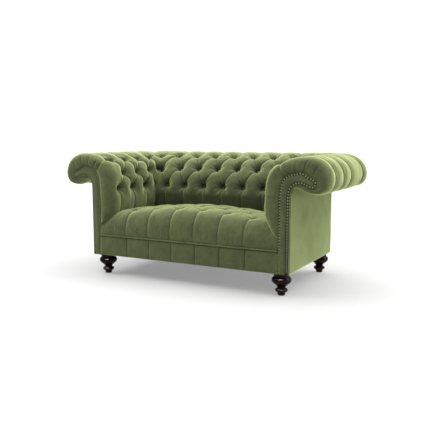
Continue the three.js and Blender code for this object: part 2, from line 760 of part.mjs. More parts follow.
const velvet = finish(0x77804f, 0.9, 0);
const velvetTrim = finish(0x6a7246, 0.9, 0);
const hardwood = finish(0xb08a5c, 0.7, 0);
const boardwood = finish(0xc4a477, 0.75, 0);
const polishedFoot = finish(0x1d0805, 0.18, 0);
const zincSteel = finish(0x9b9c9a, 0.35, 1);
const springSteel = finish(0x3a3b3d, 0.45, 1);
const hessianCloth = finish(0xa58a5f, 0.95, 0);
const blackCloth = finish(0x151515, 0.95, 0);

const sofa = new THREE.Group();
sofa.name = 'chesterfield_sofa';
const body = new THREE.Group();
body.position.y = -(rollOuterY + puff) / 2;
sofa.add(body);

function add(name, geometry, material) {
  const mesh = new THREE.Mesh(geometry, material);
  mesh.name = name;
  body.add(mesh);
}

// A piece made for the right side, with its mirror image on the left
function addPair(name, geometry, material) {
  add(`right_${name}`, geometry, material);
  add(`left_${name}`, mirrored(geometry), material);
}

// Seat frame
const acrossRail = (half, y0, z0, z1) => block(-half, half, y0, y0 + railThickness, z0, z1);
const sideBlock = (x0, z0, z1) => block(x0, postOuterX, sideRailFrontY, sideRailRearY, z0, z1);
const post = (y0) => block(postInnerX, postOuterX, y0, y0 + postSize, frameBottom, frameTop);
const betweenPosts = postInnerX - clearance;
const betweenBlocks = betweenPosts - blockWidth - clearance;
const backRailY = postRearY - railThickness;
const crossHalf = crossRailWidth / 2;
const crossTop = frameBottom + crossRailHeight;
add('front_rail', acrossRail(betweenFacings, frontRailY, frameBottom, railTop), hardwood);
add('rear_rail', acrossRail(sideRailX - clearance, rearRailY, frameBottom, railTop), hardwood);
const crossRail = block(-crossHalf, crossHalf, frontBlockY, rearRailY - clearance, frameBottom, crossTop);
add('cross_rail', crossRail, hardwood);
const footRailTop = frameBottom + railThickness;
add('back_foot_rail', acrossRail(betweenBlocks, backRailY, frameBottom, footRailTop), hardwood);
addPair('side_rail', sideBlock(sideRailX, frameBottom, railTop), hardwood);
addPair('front_post', post(postFrontY), hardwood);
addPair('rear_post', post(postRearY - postSize), hardwood);
addPair('front_corner_block', cornerBlock(frontBlockY, footPlaces.front), hardwood);
addPair('rear_corner_block', cornerBlock(rearBlockY, footPlaces.rear), hardwood);

// Arms and back frame
const tackZ = railTop + tackRailLift;
const tackTop = tackZ + tackRailHeight;
const boardFoot = railTop + ribLift;
addPair('arm_tack_rail', sideBlock(sideRailX, tackZ, tackTop), hardwood);
add('back_tack_rail', acrossRail(betweenPosts, backRailY, tackZ, tackTop), hardwood);
add('back_top_rail', acrossRail(betweenPosts, backRailY, frameTop - topRailHeight, frameTop), hardwood);
add('back_rib_centre', rib(0), boardwood);
addPair('back_rib', rib(padBackX - ribThickness / 2), boardwood);
add('back_board', backBoard(), boardwood);
const armBoardX = padBackX + clearance;
const armBoardOuterX = armBoardX + armBoardThickness;
const armBoard = block(armBoardX, armBoardOuterX, postFrontY, sideRailRearY, boardFoot, frameTop);
addPair('arm_board', armBoard, boardwood);
addPair('scroll_board', scrollBoard(), boardwood);
addPair('arm_roll_board', armRollBoard(), boardwood);
add('back_roll_board', backRollBoard(), boardwood);

// Springing
for (let k = 0; k < springCount; k += 1) {
  const x = (k - (springCount - 1) / 2) * springSpacing;
  add(`seat_spring_${k + 1}`, spring(x), springSteel);
}
const hessianTop = hessianBase + hessianThickness;
const hessian = block(-betweenFacings, betweenFacings, frontRailY, padBackY, hessianBase, hessianTop);
add('spring_hessian', hessian, hessianCloth);
add('dust_cover', dustCover(), blackCloth);

// Upholstery
add('tufted_seat', seat(), velvet);
add('seat_front_border', seatBorder(), velvet);
add('front_piping', welt(), velvetTrim);
add('inside_back', backPad(), velvet);
addPair('inside_arm', cutArmPad(), velvet);
addPair('arm_facing', facing(), velvetTrim);
const outsideArm = block(panelInnerX, bodyHalf, scrollBoardY, bodyDepth, legHeight, panelTop);
addPair('outside_arm', outsideArm, velvet);
const backHalf = panelInnerX - clearance;
add('outside_back', block(-backHalf, backHalf, panelInnerY, bodyDepth, legHeight, panelTop), velvet);

// Feet
Object.entries(footPlaces).forEach(([row, y]) => {
  addPair(`${row}_foot`, foot(y), polishedFoot);
  addPair(`${row}_foot_bolt`, footBolt(y), zincSteel);
});

export default sofa;
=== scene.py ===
import json
import math

import bmesh
import bpy
import numpy as np
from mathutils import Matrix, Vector, noise


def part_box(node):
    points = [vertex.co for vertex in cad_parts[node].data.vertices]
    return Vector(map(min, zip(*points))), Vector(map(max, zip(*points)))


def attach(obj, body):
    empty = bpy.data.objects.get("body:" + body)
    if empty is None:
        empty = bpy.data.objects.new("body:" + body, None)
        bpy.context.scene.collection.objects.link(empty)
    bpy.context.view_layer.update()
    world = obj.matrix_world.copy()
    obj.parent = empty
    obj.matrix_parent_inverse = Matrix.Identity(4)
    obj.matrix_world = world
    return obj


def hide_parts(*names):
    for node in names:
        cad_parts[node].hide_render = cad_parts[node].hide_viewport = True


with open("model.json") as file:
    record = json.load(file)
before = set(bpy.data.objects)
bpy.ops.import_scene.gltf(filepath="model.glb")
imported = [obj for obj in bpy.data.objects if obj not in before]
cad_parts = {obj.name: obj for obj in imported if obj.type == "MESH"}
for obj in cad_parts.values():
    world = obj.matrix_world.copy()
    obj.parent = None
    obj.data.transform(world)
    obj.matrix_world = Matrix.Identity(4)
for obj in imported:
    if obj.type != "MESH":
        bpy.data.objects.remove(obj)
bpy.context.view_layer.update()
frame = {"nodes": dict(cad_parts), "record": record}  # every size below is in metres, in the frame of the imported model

scene = bpy.context.scene
print("frame loaded:", len(frame["nodes"]), "nodes")

# Places that the pieces share, read from the frame
facingLow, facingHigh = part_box("right_arm_facing")
panelLow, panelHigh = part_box("right_outside_arm")
rearLow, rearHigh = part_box("outside_back")
armLow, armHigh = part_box("right_inside_arm")
backLow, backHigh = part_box("inside_back")
borderLow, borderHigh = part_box("seat_front_border")
pipingLow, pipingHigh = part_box("front_piping")
seatLow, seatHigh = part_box("tufted_seat")
postLow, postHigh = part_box("right_front_post")
armBoardLow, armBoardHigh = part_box("right_arm_roll_board")
rollBoardLow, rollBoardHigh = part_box("back_roll_board")
leanLow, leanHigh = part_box("back_board")
footLow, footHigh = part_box("right_front_foot")

frontY = facingLow.y  # front plane of the facings; depths are measured from it
gap = 0.0003  # between pieces that touch


# Helpers
def mix(a, b, t):
    return a + (b - a) * t


def smooth(t):
    t = np.clip(t, 0, 1)
    return t * t * (3 - 2 * t)


def smoothCurve(knots, values):  # a natural cubic through the rows of values
    knots, values = np.asarray(knots, float), np.asarray(values, float)
    span, last = np.diff(knots), len(knots) - 1
    system = np.eye(last + 1)
    for i in range(1, last):
        system[i, i - 1:i + 2] = span[i - 1], 2 * (span[i - 1] + span[i]), span[i]
    slope = np.diff(values, axis=0) / span[:, None]
    bend = np.zeros_like(values)
    bend[1:-1] = 6 * (slope[1:] - slope[:-1])
    bend = np.linalg.solve(system, bend)

    def at(q):
        q = np.asarray(q, float)
        i = np.clip(np.searchsorted(knots, q) - 1, 0, last - 1)
        into, left, wide = (q - knots[i])[..., None], (knots[i + 1] - q)[..., None], span[i][..., None]
        curved = (bend[i] * left ** 3 + bend[i + 1] * into ** 3) / (6 * wide)
        near, far = values[i] / wide - bend[i] * wide / 6, values[i + 1] / wide - bend[i + 1] * wide / 6
        return curved + near * left + far * into
    return at


def chordKnots(points):
    return np.r_[0, np.cumsum(np.linalg.norm(np.diff(points, axis=0), axis=1))]


def evenly(curve, low, high, step):  # parameters that lie a step apart along a curve
    fine = np.linspace(low, high, 3000)
    run = chordKnots(curve(fine))
    return np.interp(np.linspace(0, run[-1], max(2, round(run[-1] / step) + 1)), run, fine)


def unit(v):
    return v / np.maximum(np.linalg.norm(v, axis=-1, keepdims=True), 1e-12)


def gridFaces(rows, columns, start=0):
    index = np.arange(rows * columns).reshape(rows, columns) + start
    return np.stack([index[:-1, :-1], index[1:, :-1], index[1:, 1:], index[:-1, 1:]], -1).reshape(-1, 4).tolist()


def pieceFrom(name, points, faces, material, sharpAngle=None, **layers):  # tuck: painted shade from 0 to 1, deepest in folds and pits; held: 1 where sewn
    mesh = bpy.data.meshes.new(name)
    mesh.from_pydata(np.asarray(points, float).tolist(), [], faces)
    bm = bmesh.new()
    bm.from_mesh(mesh)
    for label, values in layers.items():
        layer = bm.verts.layers.float.new(label)
        for vert, value in zip(bm.verts, values):
            vert[layer] = value
    bmesh.ops.remove_doubles(bm, verts=bm.verts, dist=1e-6)
    bmesh.ops.dissolve_degenerate(bm, dist=1e-7, edges=bm.edges)
    bmesh.ops.recalc_face_normals(bm, faces=bm.faces)
    bm.to_mesh(mesh)
    bm.free()
    mesh.polygons.foreach_set("use_smooth", [True] * len(mesh.polygons))
    if sharpAngle:
        mesh.set_sharp_from_angle(angle=sharpAngle)
    piece = bpy.data.objects.new(name, mesh)
    scene.collection.objects.link(piece)
    mesh.materials.append(material)
    return piece


def closeBehind(piece, *moves):  # draws the open edge of a skin back in steps and fills it
    bm = bmesh.new()
    bm.from_mesh(piece.data)
    edges = [e for e in bm.edges if e.is_boundary]
    for move in moves:
        made = bmesh.ops.extrude_edge_only(bm, edges=edges)["geom"]
        for v in made:
            if isinstance(v, bmesh.types.BMVert):
                v.co = move(v.co)
        edges = [e for e in made if isinstance(e, bmesh.types.BMEdge) and e.is_boundary]
    bmesh.ops.triangle_fill(bm, edges=edges, use_beauty=True)
    bmesh.ops.remove_doubles(bm, verts=bm.verts, dist=1e-6)
    bmesh.ops.dissolve_degenerate(bm, dist=1e-7, edges=bm.edges)
    bmesh.ops.recalc_face_normals(bm, faces=bm.faces)
    for face in bm.faces:
        face.smooth = True
    bm.to_mesh(piece.data)
    bm.free()


clothForm = {
    "frames": 9,
    "pressure": 3.0,
    "spare": 0.025,  # how much longer the cover is cut than the pad's surface
    "stiffness": 12,
    "bending": 0.25,
    "mass": 0.25,
}


def settle(piece, cap):  # lets the cover find its own folds over the filling, as cloth under pressure
    mesh = piece.data
    held = np.zeros(len(mesh.vertices), np.float32)
    mesh.attributes["held"].data.foreach_get("value", held)
    mesh.attributes.remove(mesh.attributes["held"])
    start = np.zeros(3 * len(held), np.float32)
    mesh.vertices.foreach_get("co", start)
    group = piece.vertex_groups.new(name="held")
    for step in range(11):
        members = np.flatnonzero(np.round(held * 10) == step).tolist()
        if members:
            group.add(members, step / 10, "REPLACE")
    cloth = piece.modifiers.new("cover", "CLOTH")
    rules = cloth.settings
    rules.quality, rules.mass = 3, clothForm["mass"]
    rules.tension_stiffness = rules.compression_stiffness = clothForm["stiffness"]
    rules.shear_stiffness, rules.bending_stiffness = clothForm["stiffness"] / 2, clothForm["bending"]
    rules.shrink_min = rules.shrink_max = -clothForm["spare"]
    rules.use_pressure, rules.uniform_pressure_force = True, clothForm["pressure"]
    rules.vertex_group_mass, rules.pin_stiffness = "held", 1.0
    rules.effector_weights.gravity = 0
    cloth.collision_settings.use_collision = False
    cloth.point_cache.frame_start, cloth.point_cache.frame_end = 1, clothForm["frames"]
    for step in range(1, clothForm["frames"] + 1):
        scene.frame_set(step)
    shaped = piece.evaluated_get(bpy.context.evaluated_depsgraph_get())
    found = np.zeros_like(start)
    shaped.data.vertices.foreach_get("co", found)
    piece.modifiers.remove(cloth)
    piece.vertex_groups.remove(group)
    scene.frame_set(1)
    off = (found - start).reshape(-1, 3)
    length = np.linalg.norm(off, axis=1)
    print(piece.name, "moved by", round(float(np.median(length[held < 0.5])) * 1000, 2), "mm, most", round(float(length.max()) * 1000, 1))
    off *= (cap * np.tanh(length / cap) / np.maximum(length, 1e-9))[:, None] * (1 - held)[:, None]
    mesh.vertices.foreach_set("co", start + off.ravel().astype(np.float32))
    mesh.update()


def mirroredPiece(piece, name):
    mesh = piece.data.copy()
    mesh.name = name
    bm = bmesh.new()
    bm.from_mesh(mesh)
    bmesh.ops.scale(bm, vec=(-1, 1, 1), verts=bm.verts)
    bmesh.ops.reverse_faces(bm, faces=bm.faces)
    bm.to_mesh(mesh)
    bm.free()
    copy = bpy.data.objects.new(name, mesh)
    scene.collection.objects.link(copy)
    return copy


def dress(piece, slot, *nodes, fill=None):
    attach(piece, "root")
    if nodes:
        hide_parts(*nodes)


def ripple(points, size, depth, seed=0.0):  # soft unevenness over points, without a repeat
    offset = Vector((seed, 2 * seed, 3 * seed))
    return depth * np.array([noise.noise(Vector(p) / size + offset) for p in points.reshape(-1, 3)]).reshape(points.shape[:-1])


# Materials
class Value:  # a shader value that adds Math nodes when it is used in a sum
    def __init__(self, tree, socket):
        self.tree, self.socket = tree, socket

    def maths(self, operation, a, b):
        return self.tree.node("Math", {"operation": operation}, {0: a, 1: b})

    def __add__(self, other):
        return self.maths("ADD", self, other)

    def __radd__(self, other):
        return self.maths("ADD", other, self)

    def __sub__(self, other):
        return self.maths("SUBTRACT", self, other)

    def __rsub__(self, other):
        return self.maths("SUBTRACT", other, self)

    def __mul__(self, other):
        return self.maths("MULTIPLY", self, other)

    def __rmul__(self, other):
        return self.maths("MULTIPLY", other, self)

    def __pow__(self, other):
        return self.maths("POWER", self, other)


class Shader:  # a node tree that is filled by calls
    def __init__(self, owner):
        owner.use_nodes = True
        self.tree = owner.node_tree
        self.tree.nodes.clear()

    def node(self, kind, settings=None, inputs=None, output=0):
        made = self.tree.nodes.new("ShaderNode" + kind)
        for name, value in (settings or {}).items():
            if name == "stops":
                while len(made.color_ramp.elements) < len(value):
                    made.color_ramp.elements.new(0.5)
                for stop, (place, color) in zip(made.color_ramp.elements, value):
                    stop.position, stop.color = place, color
            else:
                setattr(made, name, value)
        for key, value in (inputs or {}).items():
            if isinstance(value, Value):
                self.tree.links.new(value.socket, made.inputs[key])
            else:
                made.inputs[key].default_value = value
        return Value(self, made.outputs[output]) if len(made.outputs) else None

    def colorMix(self, share, a, b, kind="MIX"):
        return self.node("Mix", {"data_type": "RGBA", "blend_type": kind}, {0: share, 6: a, 7: b}, 2)


def principled(name, constants, links, sheenLoss=None):  # links: what changes over the surface; sheenLoss: where painted shade takes the sheen away
    material = bpy.data.materials.new(name)
    shader = Shader(material)
    inputs = {**constants, **links(shader)}
    surface = shader.node("BsdfPrincipled", {}, inputs)
    if sheenLoss:  # painted shade: the sheen is taken away where the painted shade is deep
        flat = shader.node("BsdfPrincipled", {}, {**inputs, "Sheen Weight": 0.0})
        surface = shader.node("MixShader", {}, {0: sheenLoss(shader), 1: surface, 2: flat})
    shader.node("OutputMaterial", {}, {"Surface": surface})
    return material


def tone(r, g, b):
    return (r, g, b, 1)


velvet = {
    "deep": tone(0.047, 0.056, 0.024),
    "open": tone(0.088, 0.103, 0.043),
    "brushed": tone(0.144, 0.168, 0.077),
    # painted shade tone, laid into folds, pits, seams and grooves
    "shadeTone": tone(0.014, 0.015, 0.008),
    "shadeToneShare": 0.85,
    # painted highlight: the paler tone laid over the nail heads and the piping
    "stretched": tone(0.60, 0.66, 0.38),
    "sheenTint": tone(0.85, 0.98, 0.43),
    "sheen": 0.85,
    "sheenRoughness": 0.45,
    "pileSize": 0.0011,
    "napSize": 0.075,
}


def velvetLinks(shader, lift=0.0):  # lift: share of a paler tone, a painted highlight, laid over the nail heads and the piping
    place = shader.node("TexCoord", output=3)
    nap = shader.node("TexNoise", {}, {"Vector": place, "Scale": 1 / velvet["napSize"], "Detail": 3, "Roughness": 0.55})
    brush = shader.node("TexNoise", {}, {"Vector": place, "Scale": 5 / velvet["napSize"], "Detail": 2, "Roughness": 0.6})
    pile = shader.node("TexNoise", {}, {"Vector": place, "Scale": 1 / velvet["pileSize"], "Detail": 2, "Roughness": 0.7})
    lie = shader.node("MapRange", {}, {0: nap * 0.6 + brush * 0.25 + pile * 0.15, 1: 0.36, 2: 0.66})
    green = shader.colorMix(lie, velvet["deep"], velvet["open"])
    tips = shader.node("MapRange", {}, {0: pile, 1: 0.55, 2: 0.8})
    tuck = shader.node("Attribute", {"attribute_name": "tuck"}, {}, 2)
    lit = shader.colorMix(tips * 0.4, green, velvet["brushed"])
    # painted shade: the colour turns towards the shade tone where the painted-shade attribute is high
    color = shader.colorMix(tuck * velvet["shadeToneShare"], lit, velvet["shadeTone"])
    # painted highlight: a paler tone over the nail heads and the piping
    if lift:
        color = shader.colorMix(lift + tips * 0.3, color, velvet["stretched"])
    bump = shader.node("Bump", {}, {"Strength": 0.35, "Distance": 0.0006, "Height": pile + brush * 0.6})
    return {
        "Base Color": color,
        "Roughness": 0.95 - tips * 0.15,
        "Normal": bump,
    }


# painted shade: how much of the sheen is taken away, from the painted shade of a point
def shadeWithoutSheen(shader, start, end):
    tuck = shader.node("Attribute", {"attribute_name": "tuck"}, {}, 2)
    return shader.node("MapRange", {}, {0: tuck, 1: start, 2: end})


velvetConstants = {
    "Sheen Weight": velvet["sheen"],
    "Sheen Roughness": velvet["sheenRoughness"],
    "Sheen Tint": velvet["sheenTint"],
    "Specular IOR Level": 0.05,
}
velvetCloth = principled("greenVelvet", velvetConstants, velvetLinks, lambda shader: shadeWithoutSheen(shader, 0.5, 1.2))
# painted highlight: the nail heads are laid over with a paler tone
nailCloth = principled("nailVelvet", velvetConstants, lambda shader: velvetLinks(shader, 0.28))
# painted highlight: the piping is laid over with a slightly paler tone
pipingCloth = principled("pipingVelvet", velvetConstants, lambda shader: velvetLinks(shader, 0.06))
facingCloth = principled("facingVelvet", velvetConstants, velvetLinks, lambda shader: shadeWithoutSheen(shader, 0.4, 1.0))
print("velvet ready")

polish = {"dark": tone(0.004, 0.0006, 0.0004), "red": tone(0.009, 0.0012, 0.0008)}


def polishLinks(shader):
    place = shader.node("TexCoord", output=3)
    stretched = shader.node("Mapping", {}, {"Vector": place, "Scale": (1, 1, 0.12)})
    grain = shader.node("TexNoise", {}, {"Vector": stretched, "Scale": 260, "Detail": 4, "Roughness": 0.6})
    color = shader.colorMix(grain, polish["dark"], polish["red"])
    bump = shader.node("Bump", {}, {"Strength": 0.08, "Distance": 0.0003, "Height": grain})
    return {"Base Color": color, "Roughness": 0.10 + grain * 0.08, "Normal": bump}


polishedWood = principled("polishedFootWood", {"Specular IOR Level": 0.02, "Coat Weight": 0.18, "Coat Roughness": 0.08}, polishLinks)


def woodLinks(light, dark, ring):
    def links(shader):
        place = shader.node("TexCoord", output=3)
        waves = shader.node("TexNoise", {}, {"Vector": place, "Scale": 6, "Detail": 3})
        bent = shader.node("VectorMath", {"operation": "MULTIPLY_ADD"}, {0: waves, 1: (0.04,) * 3, 2: place})
        rings = shader.node("TexWave", {"bands_direction": "Z"}, {"Vector": bent, "Scale": ring, "Distortion": 3, "Detail": 3})
        fibre = shader.node("TexNoise", {}, {"Vector": place, "Scale": 900, "Detail": 2})
        color = shader.colorMix(rings * 0.6 + fibre * 0.3, light, dark)
        bump = shader.node("Bump", {}, {"Strength": 0.15, "Distance": 0.0004, "Height": fibre})
        return {"Base Color": color, "Roughness": 0.6 + fibre * 0.2, "Normal": bump}
    return links


beech = principled("planedBeech", {}, woodLinks(tone(0.52, 0.34, 0.17), tone(0.36, 0.21, 0.10), 22))
birchPly = principled("birchPly", {}, woodLinks(tone(0.60, 0.44, 0.24), tone(0.44, 0.29, 0.14), 60))


def steelLinks(low, high, rough):
    def links(shader):
        place = shader.node("TexCoord", output=3)
        specks = shader.node("TexNoise", {}, {"Vector": place, "Scale": 420, "Detail": 3})
        return {"Base Color": shader.colorMix(specks, low, high), "Roughness": rough + specks * 0.15}
    return links


zincSteel = principled("zincSteel", {"Metallic": 1}, steelLinks(tone(0.40, 0.41, 0.41), tone(0.60, 0.60, 0.58), 0.28))
springWire = principled("springWire", {"Metallic": 1}, steelLinks(tone(0.07, 0.07, 0.08), tone(0.14, 0.14, 0.15), 0.38))


def weaveLinks(dark, light, pitch):
    def links(shader):
        place = shader.node("TexCoord", output=3)
        turn = 2 * math.pi / pitch
        apart = shader.node("SeparateXYZ", {}, {0: place})
        down = Value(shader, apart.socket.node.outputs[1])
        warp = shader.node("Math", {"operation": "SINE"}, {0: apart * turn})
        weft = shader.node("Math", {"operation": "SINE"}, {0: down * turn})
        thread = shader.node("MapRange", {}, {0: warp * weft, 1: -1, 2: 1})
        stray = shader.node("TexNoise", {}, {"Vector": place, "Scale": 0.3 / pitch, "Detail": 3})
        color = shader.colorMix(thread * 0.6 + stray * 0.4, dark, light)
        bump = shader.node("Bump", {}, {"Strength": 0.5, "Distance": pitch / 4, "Height": thread})
        return {"Base Color": color, "Roughness": 0.9 + stray * 0.08, "Normal": bump}
    return links


hessian = principled("hessianCloth", {"Sheen Weight": 0.2}, weaveLinks(tone(0.22, 0.15, 0.07), tone(0.42, 0.31, 0.17), 0.004))
blackCloth = principled("blackDustCloth", {"Sheen Weight": 0.1}, weaveLinks(tone(0.008, 0.008, 0.008), tone(0.022, 0.022, 0.022), 0.0016))
print("materials ready")

# Section of the arm and back pads, up the inside face, over the roll and back under it
padForm = {
    "seatHalf": 0.500,
    "seatDepth": 0.478,
    "puff": 0.005,
    "underDrop": 0.043,
    "cornerRadius": 0.235,
    "innerRadius": 0.020,
    "buttonStations": (5.15, 7.12, 9.18),
    "settleCap": 0.005,
    # painted shade on the back near the seat
    "lowShade": 0.50,
    # painted shade on the outer side of the arm's roll
    "rollShade": 0.30,
    "lowShadeBelow": 0.555,
    "gridStep": 0.0038,
    "frontDepth": 0.062,  # the rounded front of the arm pad ends this far behind the facings
    "edgeDepth": 0.0095,  # the cover meets the facing this far behind its face
    "frontBulge": 0.016,
    "armColumns": (0.110, 0.253, 0.396),
    "armLead": 0.015,  # the lower rows stand this much nearer the front than the upper one
    "armBetween": (0.1815, 0.3245, 0.468),
    "armLastTop": 0.539,
    "backPitch": 1 / 7,
    # inside face: share of the arm's reach and height, then of the back's
    "faceShares": [
        (0.258, 0, 0.19, 0), (0.158, 0.058, 0.115, 0.058), (0.071, 0.151, 0.05, 0.151),
        (0.021, 0.263, 0.012, 0.263), (0, 0.38, -0.004, 0.382), (0, 0.497, 0.007, 0.497),
        (0.011, 0.618, 0.06, 0.649), (0.034, 0.733, 0.164, 0.787), (0.118, 0.861, 0.281, 0.888),
        (0.239, 0.933, 0.429, 0.962),
    ],
    # top of the roll: share of the reach, share of the height from its underside
    "crownShares": [
        (0.368, 0.929, 0.535, 0.97), (0.526, 0.985, 0.646, 0.997), (0.663, 1, 0.739, 1),
        (0.789, 0.959, 0.823, 0.959), (0.889, 0.853, 0.898, 0.858), (0.963, 0.685, 0.958, 0.695),
        (1, 0.401, 1, 0.401),
    ],
    # underneath: share of the overhang, share of the height
    "underShares": [(0.964, 0.203), (0.857, 0.061), (0.67, 0), (0.473, 0.03), (0.268, 0.122)],
    # where each station meets the outline of the facing, in steps of its curve
    "crookSteps": [0, 0, 0, 0, 0, 0, 1, 2.2, 2.8, 3.3, 4, 5, 6, 7, 7.8, 8.4, 9, 9.6, 10.1, 11, 12, 12.8, 14.2],
}
bodyHalf, bodyDepth = panelHigh.x, rearHigh.y - frontY
rollOuterX = armHigh.x - padForm["puff"]
rollOuterY = backHigh.y - frontY - padForm["puff"]
rollTop, padFoot = armHigh.z - padForm["puff"], armLow.z
panelTop = panelHigh.z
rollUnder = panelTop - padForm["underDrop"]


def sectionTable():
    reachX, reachY = rollOuterX - padForm["seatHalf"], rollOuterY - padForm["seatDepth"]
    rows = []
    for low, shares in ((padFoot, padForm["faceShares"]), (rollUnder, padForm["crownShares"])):
        for j, (armReach, armHeight, backReach, backHeight) in enumerate(shares):
            share = 0 if low == padFoot and j <= 5 else armReach
            rows.append((
                padForm["seatHalf"] + reachX * armReach, mix(low, rollTop, armHeight),
                padForm["seatDepth"] + reachY * backReach, mix(low, rollTop, backHeight),
                mix(padForm["innerRadius"], padForm["cornerRadius"], share),
            ))
    for reach, height in padForm["underShares"]:
        z = mix(rollUnder, rollTop, height)
        x, y = mix(bodyHalf, rollOuterX, reach), mix(bodyDepth, rollOuterY, reach)
        rows.append((x, z, y, z, padForm["cornerRadius"] * reach))
    rows.append((bodyHalf + gap, panelTop + gap, bodyDepth + gap, panelTop + gap, 0))
    return np.array(rows)


table = sectionTable()
stationKnots = (chordKnots(table[:, :2]) + chordKnots(table[:, 2:4])) / 2
section = smoothCurve(stationKnots, table)
atStation = lambda station: np.interp(station, np.arange(len(stationKnots)), stationKnots)
rowC, rowB, rowA = (atStation(station) for station in padForm["buttonStations"])
rowEnd = stationKnots[-1]

# Outline of the facing: from the inner edge up round the scroll to its tip and back
crookForm = {
    "bandInnerX": facingLow.x,
    "springShare": -0.218,
    # share of the overhang, or below 0 of the band's width, and share of the roll's height
    "shares": [
        (-0.915, 0.147), (-0.737, 0.35), (-0.39, 0.477), (0.009, 0.538), (0.152, 0.581), (0.313, 0.591),
        (0.464, 0.497), (0.607, 0.419), (0.674, 0.305), (0.598, 0.168), (0.455, 0.193), (0.25, 0.269),
        (0.161, 0.25), (0.1, 0.208), (0.04, 0.132), (0.008, 0.01),
    ],
}


def crookPoints():
    spring = mix(rollUnder, rollTop, crookForm["springShare"])
    points = [(crookForm["bandInnerX"], spring)]
    for reach, height in crookForm["shares"]:
        wide = bodyHalf - crookForm["bandInnerX"] if reach < 0 else rollOuterX - bodyHalf
        points.append((bodyHalf + reach * wide, mix(rollUnder, rollTop, height)))
    return np.array(points + [(bodyHalf, spring)])


crookCorners = crookPoints()
crookKnots = chordKnots(crookCorners)
crookCurve = smoothCurve(crookKnots, crookCorners)
crookAt = lambda step: crookCurve(np.interp(step, np.arange(len(crookKnots)), crookKnots))
crookStep = smoothCurve(stationKnots, np.array(padForm["crookSteps"], float)[:, None])


def facingEdge(q):  # where the cover of the arm pad meets the facing
    step = np.clip(np.interp(q, stationKnots, padForm["crookSteps"]), 0, None)
    onCurve = crookAt(step)
    low = section(np.minimum(q, rowC))[..., 1]
    straight = np.stack([np.full_like(low, crookForm["bandInnerX"]), low], -1)
    onto = smooth((q - rowC + 0.03) / 0.05)[..., None]
    return mix(straight, onCurve, onto)


def armPoint(u, q):  # u runs 0 at the facing, 1 behind the rounded front, 2 at the corner's start, 3 in its middle
    u, q = np.broadcast_arrays(np.asarray(u, float), np.asarray(q, float))
    x, z, backY, backZ, radius = np.moveaxis(section(q), -1, 0)
    radius = np.maximum(radius, 0)
    edge = facingEdge(q)
    swing = np.clip(u, 0, 1) * math.pi / 2
    turnStart = padForm["armColumns"][-1]
    front = mix(padForm["edgeDepth"], padForm["frontDepth"], 1 - np.cos(swing))
    front = front - padForm["frontBulge"] * np.sin(2 * swing)
    share = np.clip(u - 2, 0, 1)
    straight = backY - radius - turnStart
    along = share * (straight + radius * math.pi / 4)
    turn = np.where(radius > 1e-4, np.maximum(along - straight, 0) / np.maximum(radius, 1e-4), 0)
    px = np.where(u < 1, mix(edge[..., 0], x, np.sin(swing)), x - radius * (1 - np.cos(turn)))
    pz = np.where(u < 1, mix(edge[..., 1], z, np.sin(swing)), mix(z, backZ, smooth(share) / 2))
    rounded = np.where(turn > 0, backY - radius * (1 - np.sin(turn)), turnStart + along)
    py = np.where(u < 1, front, np.where(u < 2, mix(padForm["frontDepth"], turnStart, np.clip(u - 1, 0, 1)), rounded))
    return np.stack([px, py + frontY, pz], -1), turn


backStart = 3 * padForm["backPitch"]


def backPoint(u, q):  # u runs 0 in the middle of the back, 1 at the corner's start, 2 in its middle
    u, q = np.broadcast_arrays(np.asarray(u, float), np.asarray(q, float))
    x, z, backY, backZ, radius = np.moveaxis(section(q), -1, 0)
    radius = np.maximum(radius, 0)
    side, u = np.where(u < 0, -1, 1), np.abs(u)
    share = np.clip(u - 1, 0, 1)
    straight = x - radius - backStart
    along = share * (straight + radius * math.pi / 4)
    turn = np.where(radius > 1e-4, np.maximum(along - straight, 0) / np.maximum(radius, 1e-4), 0)
    rounded = np.where(turn > 0, x - radius * (1 - np.sin(turn)), backStart + along)
    px = np.where(u < 1, backStart * u, rounded)
    py = backY - radius * (1 - np.cos(turn))
    pz = mix(backZ, z, smooth(share) / 2)
    return np.stack([side * px, py + frontY, pz], -1), math.pi / 2 - side * turn


def armColumn(depth, q):  # u of a place on the arm at a depth
    start = padForm["armColumns"][-1]
    if depth <= start:
        return 1 + (depth - padForm["frontDepth"]) / (start - padForm["frontDepth"])
    _, _, backY, _, radius = section(q)
    return 2 + (depth - start) / (backY - radius - start + radius * math.pi / 4)


# Deep buttoning: the cover is drawn in along folds that run from button to button
tufting = {
    "crest": 0.001,
    "pit": ((0.023, 0.031, 2.4), (0.020, 0.0150, 1.7)),  # depth, spread and steepness of bowl and hole
    "crease": (0.0038, 0.0042),
    "creaseShade": 0.36,
    "pillow": 1.50,  # how full the panels are between the folds
    "reach": 0.052,  # a fold's pull ends this far off
    "lean": 0.36,
    "slack": 0.45,  # how much shallower a fold is midway
    "diamond": (0.020, 0.020),  # depth of a fold at its two ends
    "lower": (0.008, 0.002),
    "roll": (0.015, 0.011),
    "corner": (0.008, 0.010),
    "mitre": (0.004, 0.012),
    "pitShade": (0.50, 0.027),
    "shadeFrom": 0.013,
    "shadeDepth": 0.030,
    "pucker": 0.0018,
    "unevenness": 0.0018,
}


def foldPath(place, start, end, count=9):
    t = np.linspace(0, 1, count)
    return place(mix(start[0], end[0], t), mix(start[1], end[1], t))[0]


def distanceTo(points, path, ups, lean):  # the cover stands steeper above a fold than below it
    best, offset = np.full(len(points), 1e9), np.zeros_like(points)
    for a, b in zip(path[:-1], path[1:]):
        run = b - a
        t = np.clip((points - a) @ run / max(run @ run, 1e-12), 0, 1)
        off = points - a - t[:, None] * run
        distance = np.linalg.norm(off, axis=1)
        nearer = distance < best
        best[nearer], offset[nearer] = distance[nearer], off[nearer]
    above = np.einsum("ij,ij->i", offset, ups) / np.maximum(best, 1e-6)
    return best * (1 + lean * above)


